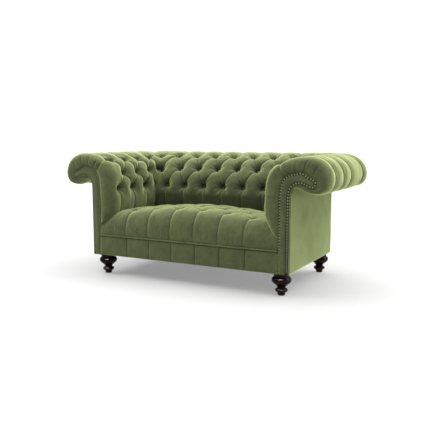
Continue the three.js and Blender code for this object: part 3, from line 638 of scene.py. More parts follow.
def drawnIn(points, normals, ups, folds, creases, buttons, form, seed):  # how far the cover moves along its normals, and the painted shade of its folds, creases and pits
    pull, depthSum, depthWeight = np.zeros(len(points)), np.zeros(len(points)), np.zeros(len(points))
    for path, (startDepth, endDepth) in folds:
        distance = np.maximum(distanceTo(points, path, ups, form["lean"]), 2e-4)
        run = path[-1] - path[0]
        along = np.clip((points - path[0]) @ run / (run @ run), 0, 1)
        pull += distance ** -3.0
        depth = mix(startDepth, endDepth, along) * (1 - form["slack"] * np.sin(along * math.pi))
        depthSum += depth * distance ** -4.0
        depthWeight += distance ** -4.0
    away = pull ** (-1 / 3)
    full = 1 - (1 - np.clip(away / form["reach"], 0, 1)) ** form["pillow"]
    crest, (creaseDepth, creaseWidth) = form["crest"], form["crease"]
    move = crest - (crest + depthSum / depthWeight) * (1 - full)
    move -= creaseDepth * np.exp(-(away / creaseWidth) ** 1.3)
    shade = form["creaseShade"] * np.exp(-(away / (1.3 * creaseWidth)) ** 2) * (creaseDepth > 0)
    for place, normal, side in buttons:
        off = points - place
        distance = np.linalg.norm(off, axis=1)
        near = distance < 0.14
        r = distance[near]
        up = np.cross(normal, side)
        angle = np.arctan2(off[near] @ up, off[near] @ side)
        for depth, spread, power in form["pit"]:
            move[near] -= depth * np.exp(-(r / spread) ** power)
        fade = np.exp(-((r - 0.028) / 0.016) ** 2)
        move[near] += form["pucker"] * fade * np.cos(9 * angle + 40 * place[0] + 31 * place[1])
        dark, spread = form["pitShade"]
        shade[near] = np.maximum(shade[near], dark * np.exp(-(r / spread) ** 2))
    for path, depth, width, dark in creases:
        distance = distanceTo(points, path, ups, 0)
        move -= depth * np.exp(-(distance / width) ** 1.3)
        shade = np.maximum(shade, dark * np.exp(-(distance / width) ** 2))
    move += ripple(points, 0.045, form["unevenness"], seed) + ripple(points, 0.014, form["unevenness"] / 4, seed + 5)
    return move, np.maximum(shade, np.clip((-move - form["shadeFrom"]) / form["shadeDepth"], 0, 1))


def padSkin(place, us, folds, creases, buttons, ends, seed):
    qs = evenly(lambda q: section(q)[:, :4], 0, rowEnd, padForm["gridStep"] * math.sqrt(2))
    u, q = np.meshgrid(us, qs, indexing="ij")
    points, turn = place(u, q)
    up = unit(np.gradient(points, axis=1))
    along = np.stack([-np.sin(turn), np.cos(turn), np.zeros_like(turn)], -1)
    if ends == "arm":
        forward = np.gradient(points, us, axis=0)
        front = us < 1
        along[front] = forward[front]
    normals = unit(np.cross(up, along))
    flat = points.reshape(-1, 3)
    drawn = drawnIn(flat, normals.reshape(-1, 3), up.reshape(-1, 3), folds, creases, buttons, tufting, seed)
    move, tuck = (a.reshape(points.shape[:2]) for a in drawn)
    settle = smooth((rowEnd - qs) / 0.05) * (0.35 + 0.65 * smooth(qs / 0.05))
    move = move * settle[None, :]
    if ends == "arm":
        move = move * (0.30 + 0.70 * smooth(us / 0.40))[:, None]
    return points + normals * move[..., None], qs, tuck


def closedPad(name, skin, qs, tuck, ends):  # adds the hidden faces that lie on the frame
    panelInner, postTop = panelLow.x, postHigh.z
    boardTop, boardX, boardY = armBoardHigh.z + gap, armBoardHigh.x + gap, rollBoardHigh.y - frontY + gap
    padBackX, padBackY, leanY = leanHigh.x, leanLow.y - frontY - gap, rollBoardLow.y - frontY - gap
    knee = mix(padFoot, armBoardHigh.z, 0.545)
    hidden = [
        (panelInner, rearLow.y - frontY, panelTop + gap), (panelInner, rearLow.y - frontY, postTop),
        (boardX, boardY, postTop), (boardX, boardY, boardTop), (padBackX, leanY, boardTop),
        (padBackX, padBackY, knee), (padBackX, padBackY, padFoot),
    ]
    behind = postLow.y - gap
    rings = []
    for i, column in enumerate(skin):
        inner = []
        for x, y, z in hidden:
            if ends == "arm":
                place = np.clip(column[0, 1], behind, None)
                last = i == len(skin) - 1
                inner.append((x, y + frontY if last else min(place, y + frontY), z))
            else:
                reach = {0: -1, len(skin) - 1: 1}.get(i)
                inner.append((reach * x if reach else np.clip(column[0, 0], -x, x), y + frontY, z))
        rings.append(np.vstack([column, inner]))
    if ends == "arm":
        first = rings[0].copy()
        first[:len(qs), 1] = behind
        rings.insert(0, first)
    rings = np.array(rings)
    count, size = rings.shape[:2]
    faces = []
    for i in range(count - 1):
        for j in range(size):
            a, b = i * size + j, i * size + (j + 1) % size
            faces.append((a, b, b + size, a + size))
    shownCount = len(qs)
    inside = size - shownCount
    for start in (0, (count - 1) * size):
        far = shownCount  # hidden points follow the shown ones round the ring
        for j in range(shownCount - 1, 0, -1):
            aim = shownCount + round((shownCount - 1 - j) / (shownCount - 1) * (inside - 1))
            while far < aim:
                faces.append((start + j, start + far, start + far + 1))
                far += 1
            faces.append((start + j, start + far, start + j - 1))
        while far < size - 1:
            faces.append((start, start + far, start + far + 1))
            far += 1
    shade, held = np.zeros((count, size)), np.ones((count, size))
    shade[count - len(tuck):, :shownCount] = tuck
    rim = np.minimum(np.arange(len(tuck)), np.arange(len(tuck))[::-1])[:, None]
    rim = np.minimum(rim, np.minimum(np.arange(shownCount), np.arange(shownCount)[::-1])[None, :])
    held[count - len(tuck):, :shownCount] = np.maximum(smooth(tuck * 1.6 - 0.5), 1 - smooth(rim / 5))
    return pieceFrom(name, rings.reshape(-1, 3), faces, velvetCloth, tuck=shade.ravel(), held=held.ravel())


def buttonSpots(place, spots):
    found = []
    for u, q in spots:
        (point, above), turn = place(np.array([u, u]), np.array([q, q + 1e-4]))
        side = np.array([-math.sin(turn[0]), math.cos(turn[0]), 0])
        normal = unit(np.cross(unit(above - point), side))
        found.append((point, normal, side))
    return found


frontForm = {  # depth, width and painted shade of the creases on the arm's front
    "level": (0.0020, 0.006, 0.1),
    "fold": (0.010, 0.008, 0.35),
    "slot": (0.012, 0.020, 0.55),
    "hollow": (0.010, 0.022, 0.95),
    "hollowReach": (0.028, 0.010),
    "foldPath": ((0, 8.0), (0.3, 8.45), (0.6, 8.85), (0.9, 9.0)),
    "pleat": (0.0060, 0.0046, 0.40),
    "pleatStations": (9.5, 10.8, 12.1, 13.6),
    "pleatReaches": (0.42, 0.48, 0.50, 0.42),
}


def armFolds():
    spot = lambda depth, q: (armColumn(depth, q), q)
    columns, between, lastTop = padForm["armColumns"], padForm["armBetween"], padForm["armLastTop"]
    cs = [spot(y - padForm["armLead"], rowC) for y in columns]
    bs = [spot(y - padForm["armLead"], rowB) for y in between]
    tops = [spot(y, rowA) for y in (*columns, lastTop)]
    corner = {"C": (3, rowC), "B": (3, rowB), "A": (3, rowA)}
    folds = []
    for i, b in enumerate(bs):
        folds += [(cs[i], b, "diamond"), (tops[i], b, "diamond"), (b, tops[i + 1], "diamond")]
        folds.append((cs[i + 1] if i + 1 < len(cs) else corner["C"], b, "diamond"))
    folds.append((tops[-1], corner["B"], "diamond"))
    folds += [(c, (c[0], 0), "lower") for c in cs]
    folds += [(a, (a[0], rowEnd), "roll") for a in tops]
    paths = [(foldPath(armPoint, a, b, 24 if kind == "roll" else 9), tufting[kind]) for a, b, kind in folds]
    paths.append((foldPath(armPoint, (3, 0), corner["B"], 24), tufting["mitre"]))
    paths.append((foldPath(armPoint, tops[-1], corner["A"]), tufting["corner"]))
    paths.append((foldPath(armPoint, corner["A"], (3, rowEnd), 24), tufting["roll"]))
    creases = [(foldPath(armPoint, cs[0], (0, rowC), 14), *frontForm["level"])]
    route = [(u, atStation(station)) for u, station in frontForm["foldPath"]] + [tops[0]]
    route = np.vstack([foldPath(armPoint, a, b, 5) for a, b in zip(route[:-1], route[1:])])
    creases.append((route, *frontForm["fold"]))
    creases.append((foldPath(armPoint, (0.93, atStation(9.0)), tops[0], 5), *frontForm["slot"]))
    back, out = frontForm["hollowReach"]
    for y in (*columns, lastTop):
        creases.append((foldPath(armPoint, spot(y, rowA), spot(y + back, rowA + out), 4), *frontForm["hollow"]))
    for station, reach in zip(frontForm["pleatStations"], frontForm["pleatReaches"]):
        q = atStation(station)
        creases.append((foldPath(armPoint, (0, q), (reach, q), 8), *frontForm["pleat"]))
    return paths, creases, buttonSpots(armPoint, cs + bs + tops), buttonSpots(armPoint, [corner["B"], corner["A"]])


def backFolds():
    pitch = padForm["backPitch"]
    full = [(k * pitch / backStart, rowC) for k in range(-3, 4)]
    tops = [(u, rowA) for u, _ in full]
    bs = [((k + 0.5) * pitch / backStart, rowB) for k in range(-3, 3)]
    folds = []
    for i, b in enumerate(bs):
        folds += [(full[i], b, "diamond"), (full[i + 1], b, "diamond")]
        folds += [(tops[i], b, "diamond"), (tops[i + 1], b, "diamond")]
    for side in (-1, 1):
        cornerB = (2 * side, rowB)
        folds += [(full[3 + 3 * side], cornerB, "diamond"), (tops[3 + 3 * side], cornerB, "diamond")]
    folds += [(c, (c[0], 0), "lower") for c in full]
    folds += [(a, (a[0], rowEnd), "roll") for a in tops]
    paths = [(foldPath(backPoint, a, b, 24 if kind == "roll" else 9), tufting[kind]) for a, b, kind in folds]
    for side in (-2, 2):
        paths.append((foldPath(backPoint, (side, 0), (side, rowB), 24), tufting["mitre"]))
        paths.append((foldPath(backPoint, (side / 2, rowA), (side, rowA)), tufting["corner"]))
        paths.append((foldPath(backPoint, (side, rowA), (side, rowEnd), 24), tufting["roll"]))
    corners = [(side, row) for side in (-2, 2) for row in (rowB, rowA)]
    return paths, buttonSpots(backPoint, full + bs + tops), buttonSpots(backPoint, corners)


def armPads():
    step = padForm["gridStep"]
    straight = padForm["armColumns"][-1] - padForm["frontDepth"]
    us = np.r_[np.linspace(0, 1, 17)[:-1], np.linspace(1, 2, round(straight / step))[:-1], np.linspace(2, 3, round(0.26 / step))]
    folds, creases, buttons, shared = armFolds()
    skin, qs, tuck = padSkin(armPoint, us, folds, creases, buttons + shared, "arm", 3.1)
    # painted shade over the outer side of the roll, behind the rounded front of the arm
    outside = smooth((qs - atStation(10.5)) / (atStation(12.5) - atStation(10.5)))
    tuck = np.maximum(tuck, padForm["rollShade"] * smooth(2 * us - 2)[:, None] * outside[None, :])
    right = closedPad("rightArmPad", skin, qs, tuck, "arm")
    settle(right, padForm["settleCap"])
    left = mirroredPiece(right, "leftArmPad")
    dress(right, "velvet", "right_inside_arm", fill=0.8)
    dress(left, "velvet", "left_inside_arm", fill=0.8)
    return buttons


def backPad():
    step = padForm["gridStep"]
    half = np.r_[np.linspace(0, 1, round(backStart / step))[:-1], np.linspace(1, 2, round(0.26 / step))]
    us = np.r_[-half[:0:-1], half]
    folds, buttons, shared = backFolds()
    skin, qs, tuck = padSkin(backPoint, us, folds, [], buttons + shared, "back", 7.7)
    low = padForm["lowShade"] * smooth((padForm["lowShadeBelow"] - skin[..., 2]) / 0.11)  # painted shade, darker towards the seat
    tuck = np.maximum(tuck, low)
    piece = closedPad("insideBackPad", skin, qs, tuck, "back")
    settle(piece, padForm["settleCap"])
    dress(piece, "velvet", "inside_back", fill=0.8)
    return buttons, shared


armButtons = armPads()
backButtons, cornerButtons = backPad()
print("arm and back pads ready")

# Covered buttons
buttonForm = {"radius": 0.0095, "dome": 0.0045, "sunk": 0.047, "sides": 20, "rings": 5}


def buttonMesh(spots, radius, dome, sunk):
    points, faces = [], []
    sides, rings = buttonForm["sides"], buttonForm["rings"]
    angles = np.arange(sides) * 2 * math.pi / sides
    for place, normal, side in spots:
        across = np.cross(normal, side)
        centre = place - normal * sunk
        start = len(points)
        for k in range(rings + 1):
            lift = math.sin(k / rings * math.pi / 2) * dome
            wide = math.cos(k / rings * math.pi / 2) * radius
            if k == rings:
                points.append(centre + normal * dome)
            else:
                points += [centre + normal * lift + wide * (math.cos(a) * side + math.sin(a) * across) for a in angles]
        points.append(centre - normal * dome * 0.6)
        top, base = start + rings * sides, start + rings * sides + 1
        for k in range(rings - 1):
            for s in range(sides):
                a, b = start + k * sides + s, start + k * sides + (s + 1) % sides
                faces.append((a, b, b + sides, a + sides))
        for s in range(sides):
            a, b = start + s, start + (s + 1) % sides
            faces.append((a + (rings - 1) * sides, b + (rings - 1) * sides, top))
            faces.append((b, a, base))
    return points, faces


def buttons(name, spots, form=buttonForm, cloth=velvetCloth):
    points, faces = buttonMesh(spots, form["radius"], form["dome"], form["sunk"])
    piece = pieceFrom(name, points, faces, cloth)
    dress(piece, "velvet_trim")
    return piece


def mirroredSpots(spots):
    flip = np.array([-1, 1, 1])
    return [(p * flip, n * flip, s * flip) for p, n, s in spots]


buttons("rightArmButtons", armButtons)
buttons("leftArmButtons", mirroredSpots(armButtons))
buttons("backButtons", backButtons + cornerButtons)
print("buttons ready")

# Seat
seatForm = {
    "nose": 0.150,
    "nosePower": 2.7,
    "crown": 0.045,
    "crownPower": 1.75,
    "tailDrop": 0.030,
    "height": 0.148,
    "endShare": 1.25,
    "panels": 7,
    "rows": (0.110, 0.210, 0.310, 0.410),
    "rear": 0.489,
    "overlap": 0.003,
    "gridStep": 0.0034,
    # depth, width and painted shade of the pleats down the front and of the seams at the buttons
    "pleat": (0.0020, 0.0062, 0.5),
    "seam": (0.0040, 0.0055, 0.8),
    "seamHalf": 0.022,
    "settleCap": 0.004,
}
seatTuft = {
    "crest": 0.004,
    "lean": 0.0,
    "slack": 0.0,
    "pit": ((0.004, 0.035, 2.0), (0.008, 0.015, 1.5)),
    "crease": (0.0, 0.005),
    "creaseShade": 0.7,
    "pillow": 2.2,
    "reach": 0.045,
    "diamond": (0.0035, 0.0035),
    "pucker": 0.0009,
    "unevenness": 0.0018,
    "pitShade": (0.45, 0.012),
    "shadeFrom": 0.009,
    "shadeDepth": 0.020,
}
betweenFacings = borderHigh.x
seatBase = seatLow.z
seatFrontLow = pipingHigh.z + gap
seatEdge = seatBase + seatForm["height"]
seatSetback = borderLow.y - frontY
seatPitch = 2 * betweenFacings / (seatForm["panels"] - 2 + 2 * seatForm["endShare"])
faceHeights = section(np.linspace(0, stationKnots[4], 60))[:, :2]


def armFaceX(z, depth):  # inner face of the arm pad at a height and depth
    x = np.interp(z, faceHeights[:, 1], faceHeights[:, 0])
    into = np.clip((depth - padForm["edgeDepth"]) / (padForm["frontDepth"] - padForm["edgeDepth"]), 0, 1)
    return np.where(z < padFoot, betweenFacings, mix(betweenFacings, x, np.sqrt(1 - (1 - into) ** 2)))


def seatHeight(x, depth, front):
    across = seatForm["crown"] * (1 - np.abs(x / padForm["seatHalf"]) ** seatForm["crownPower"])
    half = padForm["seatDepth"] / 2
    fall = seatForm["tailDrop"] * np.clip((depth - half) / half, 0, 1) ** 2
    return seatFrontLow + (seatEdge + across - seatFrontLow) * front - fall


def seatProfile(t):  # depth and share of the height, round the nose and then back
    turn = np.clip(t, 0, 1) * math.pi / 2
    power = 2 / seatForm["nosePower"]
    front = np.sin(turn) ** power
    nose = seatForm["nose"] * (1 - np.cos(turn) ** power)
    depth = np.where(t < 1, seatSetback + nose, mix(seatSetback + seatForm["nose"], seatForm["rear"], t - 1))
    return np.stack([depth, front * seatForm["height"]], -1)


def seatPoint(c, t):
    depth, front = np.moveaxis(seatProfile(t), -1, 0)
    front = front / seatForm["height"]
    reach = np.full_like(depth, padForm["seatHalf"])
    for _ in range(8):
        reach = armFaceX(seatHeight(reach, depth, front), depth)
    reach = np.minimum(reach + seatForm["overlap"], betweenFacings)
    x = c * reach
    return np.stack([x, depth + frontY, seatHeight(x, depth, front)], -1)


def onSeat(x, depth):  # point on the plain seat at a width and depth
    nose = np.clip(1 - (depth - seatSetback) / seatForm["nose"], 0, 1)
    front = (1 - nose ** seatForm["nosePower"]) ** (1 / seatForm["nosePower"])
    return np.array([x, depth + frontY, float(seatHeight(np.array(x), np.array(depth), front))])


def seatSpots():
    found = []
    for row, depth in enumerate(seatForm["rows"]):
        shift = 0 if row % 2 == 0 else 0.5
        places = [(k + 0.5 + shift) * seatPitch for k in range(-3, 3)]
        found.append([x for x in places if abs(x) < padForm["seatHalf"] - 0.03])
    return found


def seatPad():
    ts = evenly(seatProfile, 0, 2, seatForm["gridStep"])
    cs = np.linspace(-1, 1, round(2 * padForm["seatHalf"] / seatForm["gridStep"]))
    t, c = np.meshgrid(ts, cs, indexing="ij")
    points = seatPoint(c, t)
    normals = unit(np.cross(np.gradient(points, axis=1), np.gradient(points, axis=0)))
    rows = seatSpots()
    folds, creases, spots = [], [], []
    for row, xs in enumerate(rows):
        depth = seatForm["rows"][row]
        for x in xs:
            spots.append((onSeat(x, depth), np.array([0, -0.08, 1.0]) / math.hypot(0.08, 1), np.array([1.0, 0, 0])))
            for other in rows[row + 1] if row + 1 < len(rows) else []:
                if abs(other - x) < 0.6 * seatPitch:
                    line = [onSeat(mix(x, other, s), mix(depth, seatForm["rows"][row + 1], s)) for s in np.linspace(0, 1, 6)]
                    folds.append((np.array(line), seatTuft["diamond"]))
    for x in rows[0]:
        line = []
        for s in np.linspace(0, 1, 22):
            turn = (1 - s) * math.pi / 2
            depth = mix(seatForm["rows"][0], seatSetback, s ** 0.8)
            bow = 0.012 * math.sin(min(s * 3, 1) * math.pi / 2)
            line.append(onSeat(x - bow, max(depth, seatSetback + 1e-5)))
        folds.append((np.array(line), (0.0026, 0.0026)))
        creases.append((np.array(line), *seatForm["pleat"]))
    for row, xs in enumerate(rows):
        for x in xs:
            half = seatForm["seamHalf"]
            line = [onSeat(x + t, seatForm["rows"][row]) for t in np.linspace(-half, half, 5)]
            creases.append((np.array(line), *seatForm["seam"]))
    flat = points.reshape(-1, 3)
    ups = np.zeros_like(flat)
    drawn = drawnIn(flat, normals.reshape(-1, 3), ups, folds, creases, spots, seatTuft, 1.9)
    move, tuck = (a.reshape(points.shape[:2]) for a in drawn)
    move = move * (0.5 + 0.5 * smooth(ts / 0.25))[:, None] * smooth((1 - np.abs(cs)) / 0.04 + 0.2)[None, :]
    skin = points + normals * move[..., None]
    # painted shade along the seat's edge above the piping
    tuck = np.maximum(tuck, 0.9 * np.exp(-((points[..., 2] - seatFrontLow) / 0.005) ** 2))
    rim = np.minimum(np.arange(len(ts)), np.arange(len(ts))[::-1])[:, None]
    rim = np.minimum(rim, np.minimum(np.arange(len(cs)), np.arange(len(cs))[::-1])[None, :])
    held = np.maximum(smooth(tuck * 1.6 - 0.4), 1 - smooth(rim / 5)).ravel()
    faces = gridFaces(*skin.shape[:2])
    piece = pieceFrom("seatPad", skin.reshape(-1, 3), faces, velvetCloth, tuck=tuck.ravel(), held=held)
    settle(piece, seatForm["settleCap"])
    backOf = pipingHigh.y + gap
    stepBack = lambda p: Vector((p.x, max(p.y, backOf), p.z))
    drop = lambda p: Vector((np.clip(p.x, -betweenFacings, betweenFacings), p.y, seatBase))
    closeBehind(piece, stepBack, drop)
    dress(piece, "velvet", "tufted_seat", fill=0.75)
    return spots


seatButtonForm = {"radius": 0.0095, "dome": 0.004, "sunk": 0.0125}
buttons("seatButtons", seatPad(), seatButtonForm)
print("seat ready")

# Front border under the seat
borderForm = {"pleat": 0.0040, "pleatWidth": 0.0045, "puff": 0.0030, "edge": 0.006, "gridStep": 0.005, "fine": 0.0012}


def border():
    pleats = [(k - 2.5) * seatPitch for k in range(6)]
    xs = np.linspace(-betweenFacings, betweenFacings, round(2 * betweenFacings / borderForm["gridStep"]))
    close = np.arange(-10, 11) * borderForm["fine"]
    xs = np.unique(np.round(np.concatenate([xs, *(p + close for p in pleats)]), 5))
    low, high = borderLow.z, borderHigh.z
    zs = np.linspace(low, high, round((high - low) / borderForm["gridStep"]))
    z, x = np.meshgrid(zs, xs, indexing="ij")
    off = np.min([np.abs(x - p) for p in pleats], axis=0)
    swell = borderForm["puff"] * (1 - np.clip(1 - off / (seatPitch / 2), 0, 1) ** 2.5)
    groove = borderForm["pleat"] * np.exp(-(off / borderForm["pleatWidth"]) ** 1.2)
    level = np.sin(np.clip((z - low) / (high - low), 0, 1) * math.pi) ** 0.5
    fromEdge = np.minimum(z - low, high - z)
    corner = borderForm["edge"]
    rounding = corner - np.sqrt(np.maximum(corner ** 2 - np.clip(corner - fromEdge, 0, corner) ** 2, 0))
    flat = np.stack([x, np.zeros_like(x), z], -1)
    y = borderLow.y + 0.0015 - swell * level + groove * (0.5 + 0.5 * level) + rounding - ripple(flat, 0.05, 0.0014, 2.2)
    skin = np.stack([x, y, z], -1)
    # painted shade in the pleats and along the top edge under the piping
    tuck = np.maximum(0.75 * np.exp(-(off / borderForm["pleatWidth"]) ** 2), 0.9 * np.exp(-((high - z) / 0.005) ** 2))
    piece = pieceFrom("seatBorder", skin.reshape(-1, 3), gridFaces(*skin.shape[:2]), velvetCloth, tuck=tuck.ravel())
    closeBehind(piece, lambda p: Vector((p.x, borderHigh.y, p.z)))
    dress(piece, "velvet", "seat_front_border", fill=0.3)


border()

# Piping between seat and border, with the flange that is sewn into the seam
pipingForm = {"radius": 0.0036, "sides": 14, "step": 0.006, "ply": 0.0004, "proud": 0.0045}


def piping():
    centreY, centreZ = (pipingLow.y + pipingHigh.y) / 2 - pipingForm["proud"], (pipingLow.z + pipingHigh.z) / 2
    xs = np.arange(-betweenFacings, betweenFacings, pipingForm["step"])
    points = []
    angles = np.arange(pipingForm["sides"]) * 2 * math.pi / pipingForm["sides"]
    for x in xs:
        sway = 0.0006 * noise.noise(Vector((x * 14, 0, 3)))
        for a in angles:
            wave = pipingForm["radius"] + pipingForm["ply"] * math.sin(2 * a + x * 520)
            points.append((x, centreY + wave * math.cos(a), centreZ + sway + wave * math.sin(a)))
    faces = []
    size = len(angles)
    for i in range(len(xs) - 1):
        for s in range(size):
            a, b = i * size + s, i * size + (s + 1) % size
            faces.append((a, b, b + size, a + size))
    faces += [tuple(range(size)), tuple(range((len(xs) - 1) * size, len(xs) * size))]
    dress(pieceFrom("frontPiping", points, faces, pipingCloth), "velvet_trim", "front_piping")


piping()
print("border and piping ready")

# Facings of the arm fronts
facingForm = {
    "insets": (0.0, 0.0, 0.0003, 0.0006, 0.0011, 0.0040, 0.0086, 0.0098, 0.0116, 0.0140),  # on the inner side
    "outerInsets": (0.0, 0.0, 0.0008, 0.0018, 0.0031, 0.0098, 0.0168, 0.0191, 0.0238, 0.0293),
    "depths": (0.0115, 0.0042, 0.0022, 0.0012, 0.0018, 0.0030, 0.0018, 0.0004, -0.0012, -0.0018),
    # painted shade of each ring: dark on the return behind, and in the groove round the nails
    "shades": (1, 0.6, 0.2, 0.5, 1, 1, 1, 0.3, 0, 0),
    "cover": 0.0008,  # thickness of the velvet over the bare corner of the board
    "nailRadius": 0.0040,
    "nailPitch": 0.0158,
    "nailInsets": (0.0044, 0.0101),
    "nailDepth": 0.0026,
}


def outlineOffset(points, inward):
    before, after = np.roll(points, 1, axis=0), np.roll(points, -1, axis=0)
    run = unit(unit(points - before) + unit(after - points))
    side = np.stack([run[:, 1], -run[:, 0]], -1)
    return points + side * np.asarray(inward)[..., None] if np.ndim(inward) else points + side * inward


def crookOutline(step):
    fine = crookCurve(evenly(crookCurve, 0, crookKnots[-1], step))
    foot = facingLow.z
    rise = np.arange(foot, fine[0, 1], step)
    inner = np.stack([np.full_like(rise, fine[0, 0]), rise], -1)
    outer = np.stack([np.full_like(rise, fine[-1, 0]), rise[::-1]], -1)
    return np.vstack([inner, fine, outer])


def spread(inner, outer, count):  # the nails stand nearer the edge on the inner side
    return mix(inner, outer, smooth(np.linspace(-0.1, 1.1, count)))


def facings():
    outline = crookOutline(0.006)
    rings, tuck = [], []
    hookX, hookZ = mix(bodyHalf, rollOuterX, 0.27), mix(rollUnder, rollTop, 0.275)
    inHook = (outline[:, 0] > bodyHalf - 0.001) & (outline[:, 0] < hookX)  # the pad leaves the board bare here
    inHook &= (outline[:, 1] > rollUnder - 0.002) & (outline[:, 1] < hookZ)
    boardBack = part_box("right_scroll_board")[1].y - frontY
    layers = zip(facingForm["insets"], facingForm["outerInsets"], facingForm["depths"], facingForm["shades"])
    for inset, outerInset, depth, shade in layers:
        tuck += [shade] * len(outline)
        outer = inHook & (inset == 0)
        aside = spread(inset, outerInset, len(outline))
        ring = outlineOffset(outline, np.where(outer, -facingForm["cover"], aside))
        ring[:, 1] = np.maximum(ring[:, 1], facingLow.z + 0.15 * aside)
        ring[[0, -1], 1] = facingLow.z + 0.15 * aside[[0, -1]]
        depths = np.where(outer & (not rings), boardBack, depth)
        rings.append(np.stack([ring[:, 0], frontY + depths, ring[:, 1]], -1))
    count = len(outline)
    faces = []
    for k in range(len(rings) - 1):
        for s in range(count):
            a, b = k * count + s, k * count + (s + 1) % count
            faces.append((a, b, b + count, a + count))
    faces += [tuple(range(count)), tuple(range((len(rings) - 1) * count, len(rings) * count))]
    piece = pieceFrom("rightFacing", np.vstack(rings), faces, facingCloth, tuck=tuck)
    left = mirroredPiece(piece, "leftFacing")
    dress(piece, "velvet_trim", "right_arm_facing", fill=0.3)
    dress(left, "velvet_trim", "left_arm_facing", fill=0.3)


def nails():
    outline = crookOutline(0.002)
    line = outlineOffset(outline, spread(*facingForm["nailInsets"], len(outline)))[2:-2]
    run = chordKnots(line)
    spots = []
    for s in np.arange(facingForm["nailPitch"] / 2, run[-1], facingForm["nailPitch"]):
        x, z = np.interp(s, run, line[:, 0]), np.interp(s, run, line[:, 1])
        if z > facingLow.z + 0.008:
            spots.append((np.array([x, frontY + facingForm["nailDepth"], z]), np.array([0, -1.0, 0]), np.array([1.0, 0, 0])))
    form = {"radius": facingForm["nailRadius"], "dome": 0.0040, "sunk": 0.0}
    buttons("rightFacingNails", spots, form, nailCloth)
    buttons("leftFacingNails", mirroredSpots(spots), form, nailCloth)


facings()
nails()
print("facings ready")

# Outside panels
panelForm = {"gridStep": 0.008, "corner": 0.006, "belly": 0.0025}


def panelSkin(widths, heights, rounding):  # distance that each point stands back from the panel's face
    w, z = np.meshgrid(widths, heights, indexing="ij")
    corner = panelForm["corner"]
    aside = np.minimum(w - widths[0], widths[-1] - w)
    below = z - heights[0]
    back = np.zeros_like(w)
    for away in (aside, below):
        back += corner - np.sqrt(np.maximum(corner ** 2 - np.clip(corner - away, 0, corner) ** 2, 0))
    belly = np.sin(np.clip((w - widths[0]) / (widths[-1] - widths[0]), 0, 1) * math.pi)
    belly = belly * np.sin(np.clip((z - heights[0]) / (heights[-1] - heights[0]), 0, 1) * math.pi)
    flat = np.stack([w, z, np.full_like(w, rounding)], -1)
    return w, z, back - panelForm["belly"] * belly - ripple(flat, 0.11, 0.0016, rounding)


def outsidePanels():
    step = panelForm["gridStep"]
    heights = np.linspace(panelLow.z, panelTop, round((panelTop - panelLow.z) / step))
    depths = np.linspace(panelLow.y, panelHigh.y, round((panelHigh.y - panelLow.y) / step))
    y, z, back = panelSkin(depths, heights, 1.0)
    skin = np.stack([panelHigh.x - back, y, z], -1)
    right = pieceFrom("rightOutsideArm", skin.reshape(-1, 3), gridFaces(*skin.shape[:2]), velvetCloth)
    closeBehind(right, lambda p: Vector((panelLow.x, p.y, p.z)))
    left = mirroredPiece(right, "leftOutsideArm")
    dress(right, "velvet", "right_outside_arm", fill=0.2)
    dress(left, "velvet", "left_outside_arm", fill=0.2)
    widths = np.linspace(rearLow.x, rearHigh.x, round((rearHigh.x - rearLow.x) / step))
    x, z, back = panelSkin(widths, heights, 4.0)
    skin = np.stack([x, rearHigh.y - back, z], -1)
    rear = pieceFrom("outsideBack", skin.reshape(-1, 3), gridFaces(*skin.shape[:2]), velvetCloth)
    closeBehind(rear, lambda p: Vector((p.x, rearLow.y, p.z)))
    dress(rear, "velvet", "outside_back", fill=0.2)


outsidePanels()
print("outside panels ready")

# Turned feet
footForm = {
    "sides": 72,
    "toe": 0.0180,
    "base": 0.0200,
    "ring": 0.0350,
    "neck": 0.0230,
    "bun": 0.0550,
    "collar": 0.0430,
}


def footOutline():
    form = footForm
    points = [(0.0, 0.0), (form["toe"], 0.0), (form["base"], 0.002), (form["base"] + 0.0015, 0.011)]

    def bead(low, high, inner, outer, count=12, lean=0.0):
        for k in range(count + 1):
            t = k / count
            points.append((mix(inner[0], inner[1], t) + (outer - mix(inner[0], inner[1], t)) * math.sin(t * math.pi) ** 0.75, mix(low, high, t)))
    bead(0.017, 0.0405, (0.0245, 0.0250), form["ring"])
    points.extend([(form["neck"], 0.0425), (form["neck"], 0.0465)])
    for k in range(1, 8):
        t = k / 8
        points.append((mix(form["neck"], 0.0465, t ** 1.25), mix(0.0465, 0.0690, t)))
    bead(0.0700, 0.1040, (0.0470, 0.0440), form["bun"], 16)
    points.extend([(form["collar"], 0.1055), (form["collar"], 0.110), (form["collar"] + 0.0015, panelLow.z - 0.002), (form["collar"] - 0.002, panelLow.z - gap)])
    points.append((0.0, panelLow.z - gap))
    return points


def foot(name, node):
    low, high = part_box(node)
    centre = ((low.x + high.x) / 2, (low.y + high.y) / 2)
    outline = footOutline()
    sides = footForm["sides"]
    points = []
    for r, z in outline:
        for s in range(sides):
            a = 2 * math.pi * s / sides
            points.append((centre[0] + r * math.cos(a), centre[1] + r * math.sin(a), z))
    faces = []
    for i in range(len(outline) - 1):
        for s in range(sides):
            a, b = i * sides + s, i * sides + (s + 1) % sides
            faces.append((a, b, b + sides, a + sides))
    piece = pieceFrom(name, points, faces, polishedWood, math.radians(38))
    dress(piece, "polished_foot", node)


for row in ("Front", "Rear"):
    for side in ("right", "left"):
        foot(f"{side}{row}Foot", f"{side}_{row.lower()}_foot")
print("feet ready")

# Finishes of the pieces inside
finishes = {
    "hardwood": beech, "boardwood": birchPly, "zinc_steel": zincSteel, "spring_steel": springWire,
    "hessian_cloth": hessian, "black_cloth": blackCloth, "polished_foot": polishedWood,
    "velvet": velvetCloth, "velvet_trim": velvetCloth,
}
slotOf = {part["node"]: part["material_slot"] for part in frame["record"]["subparts"]}
for name, node in frame["nodes"].items():
    node.data.materials.clear()
    node.data.materials.append(finishes[slotOf[name]])

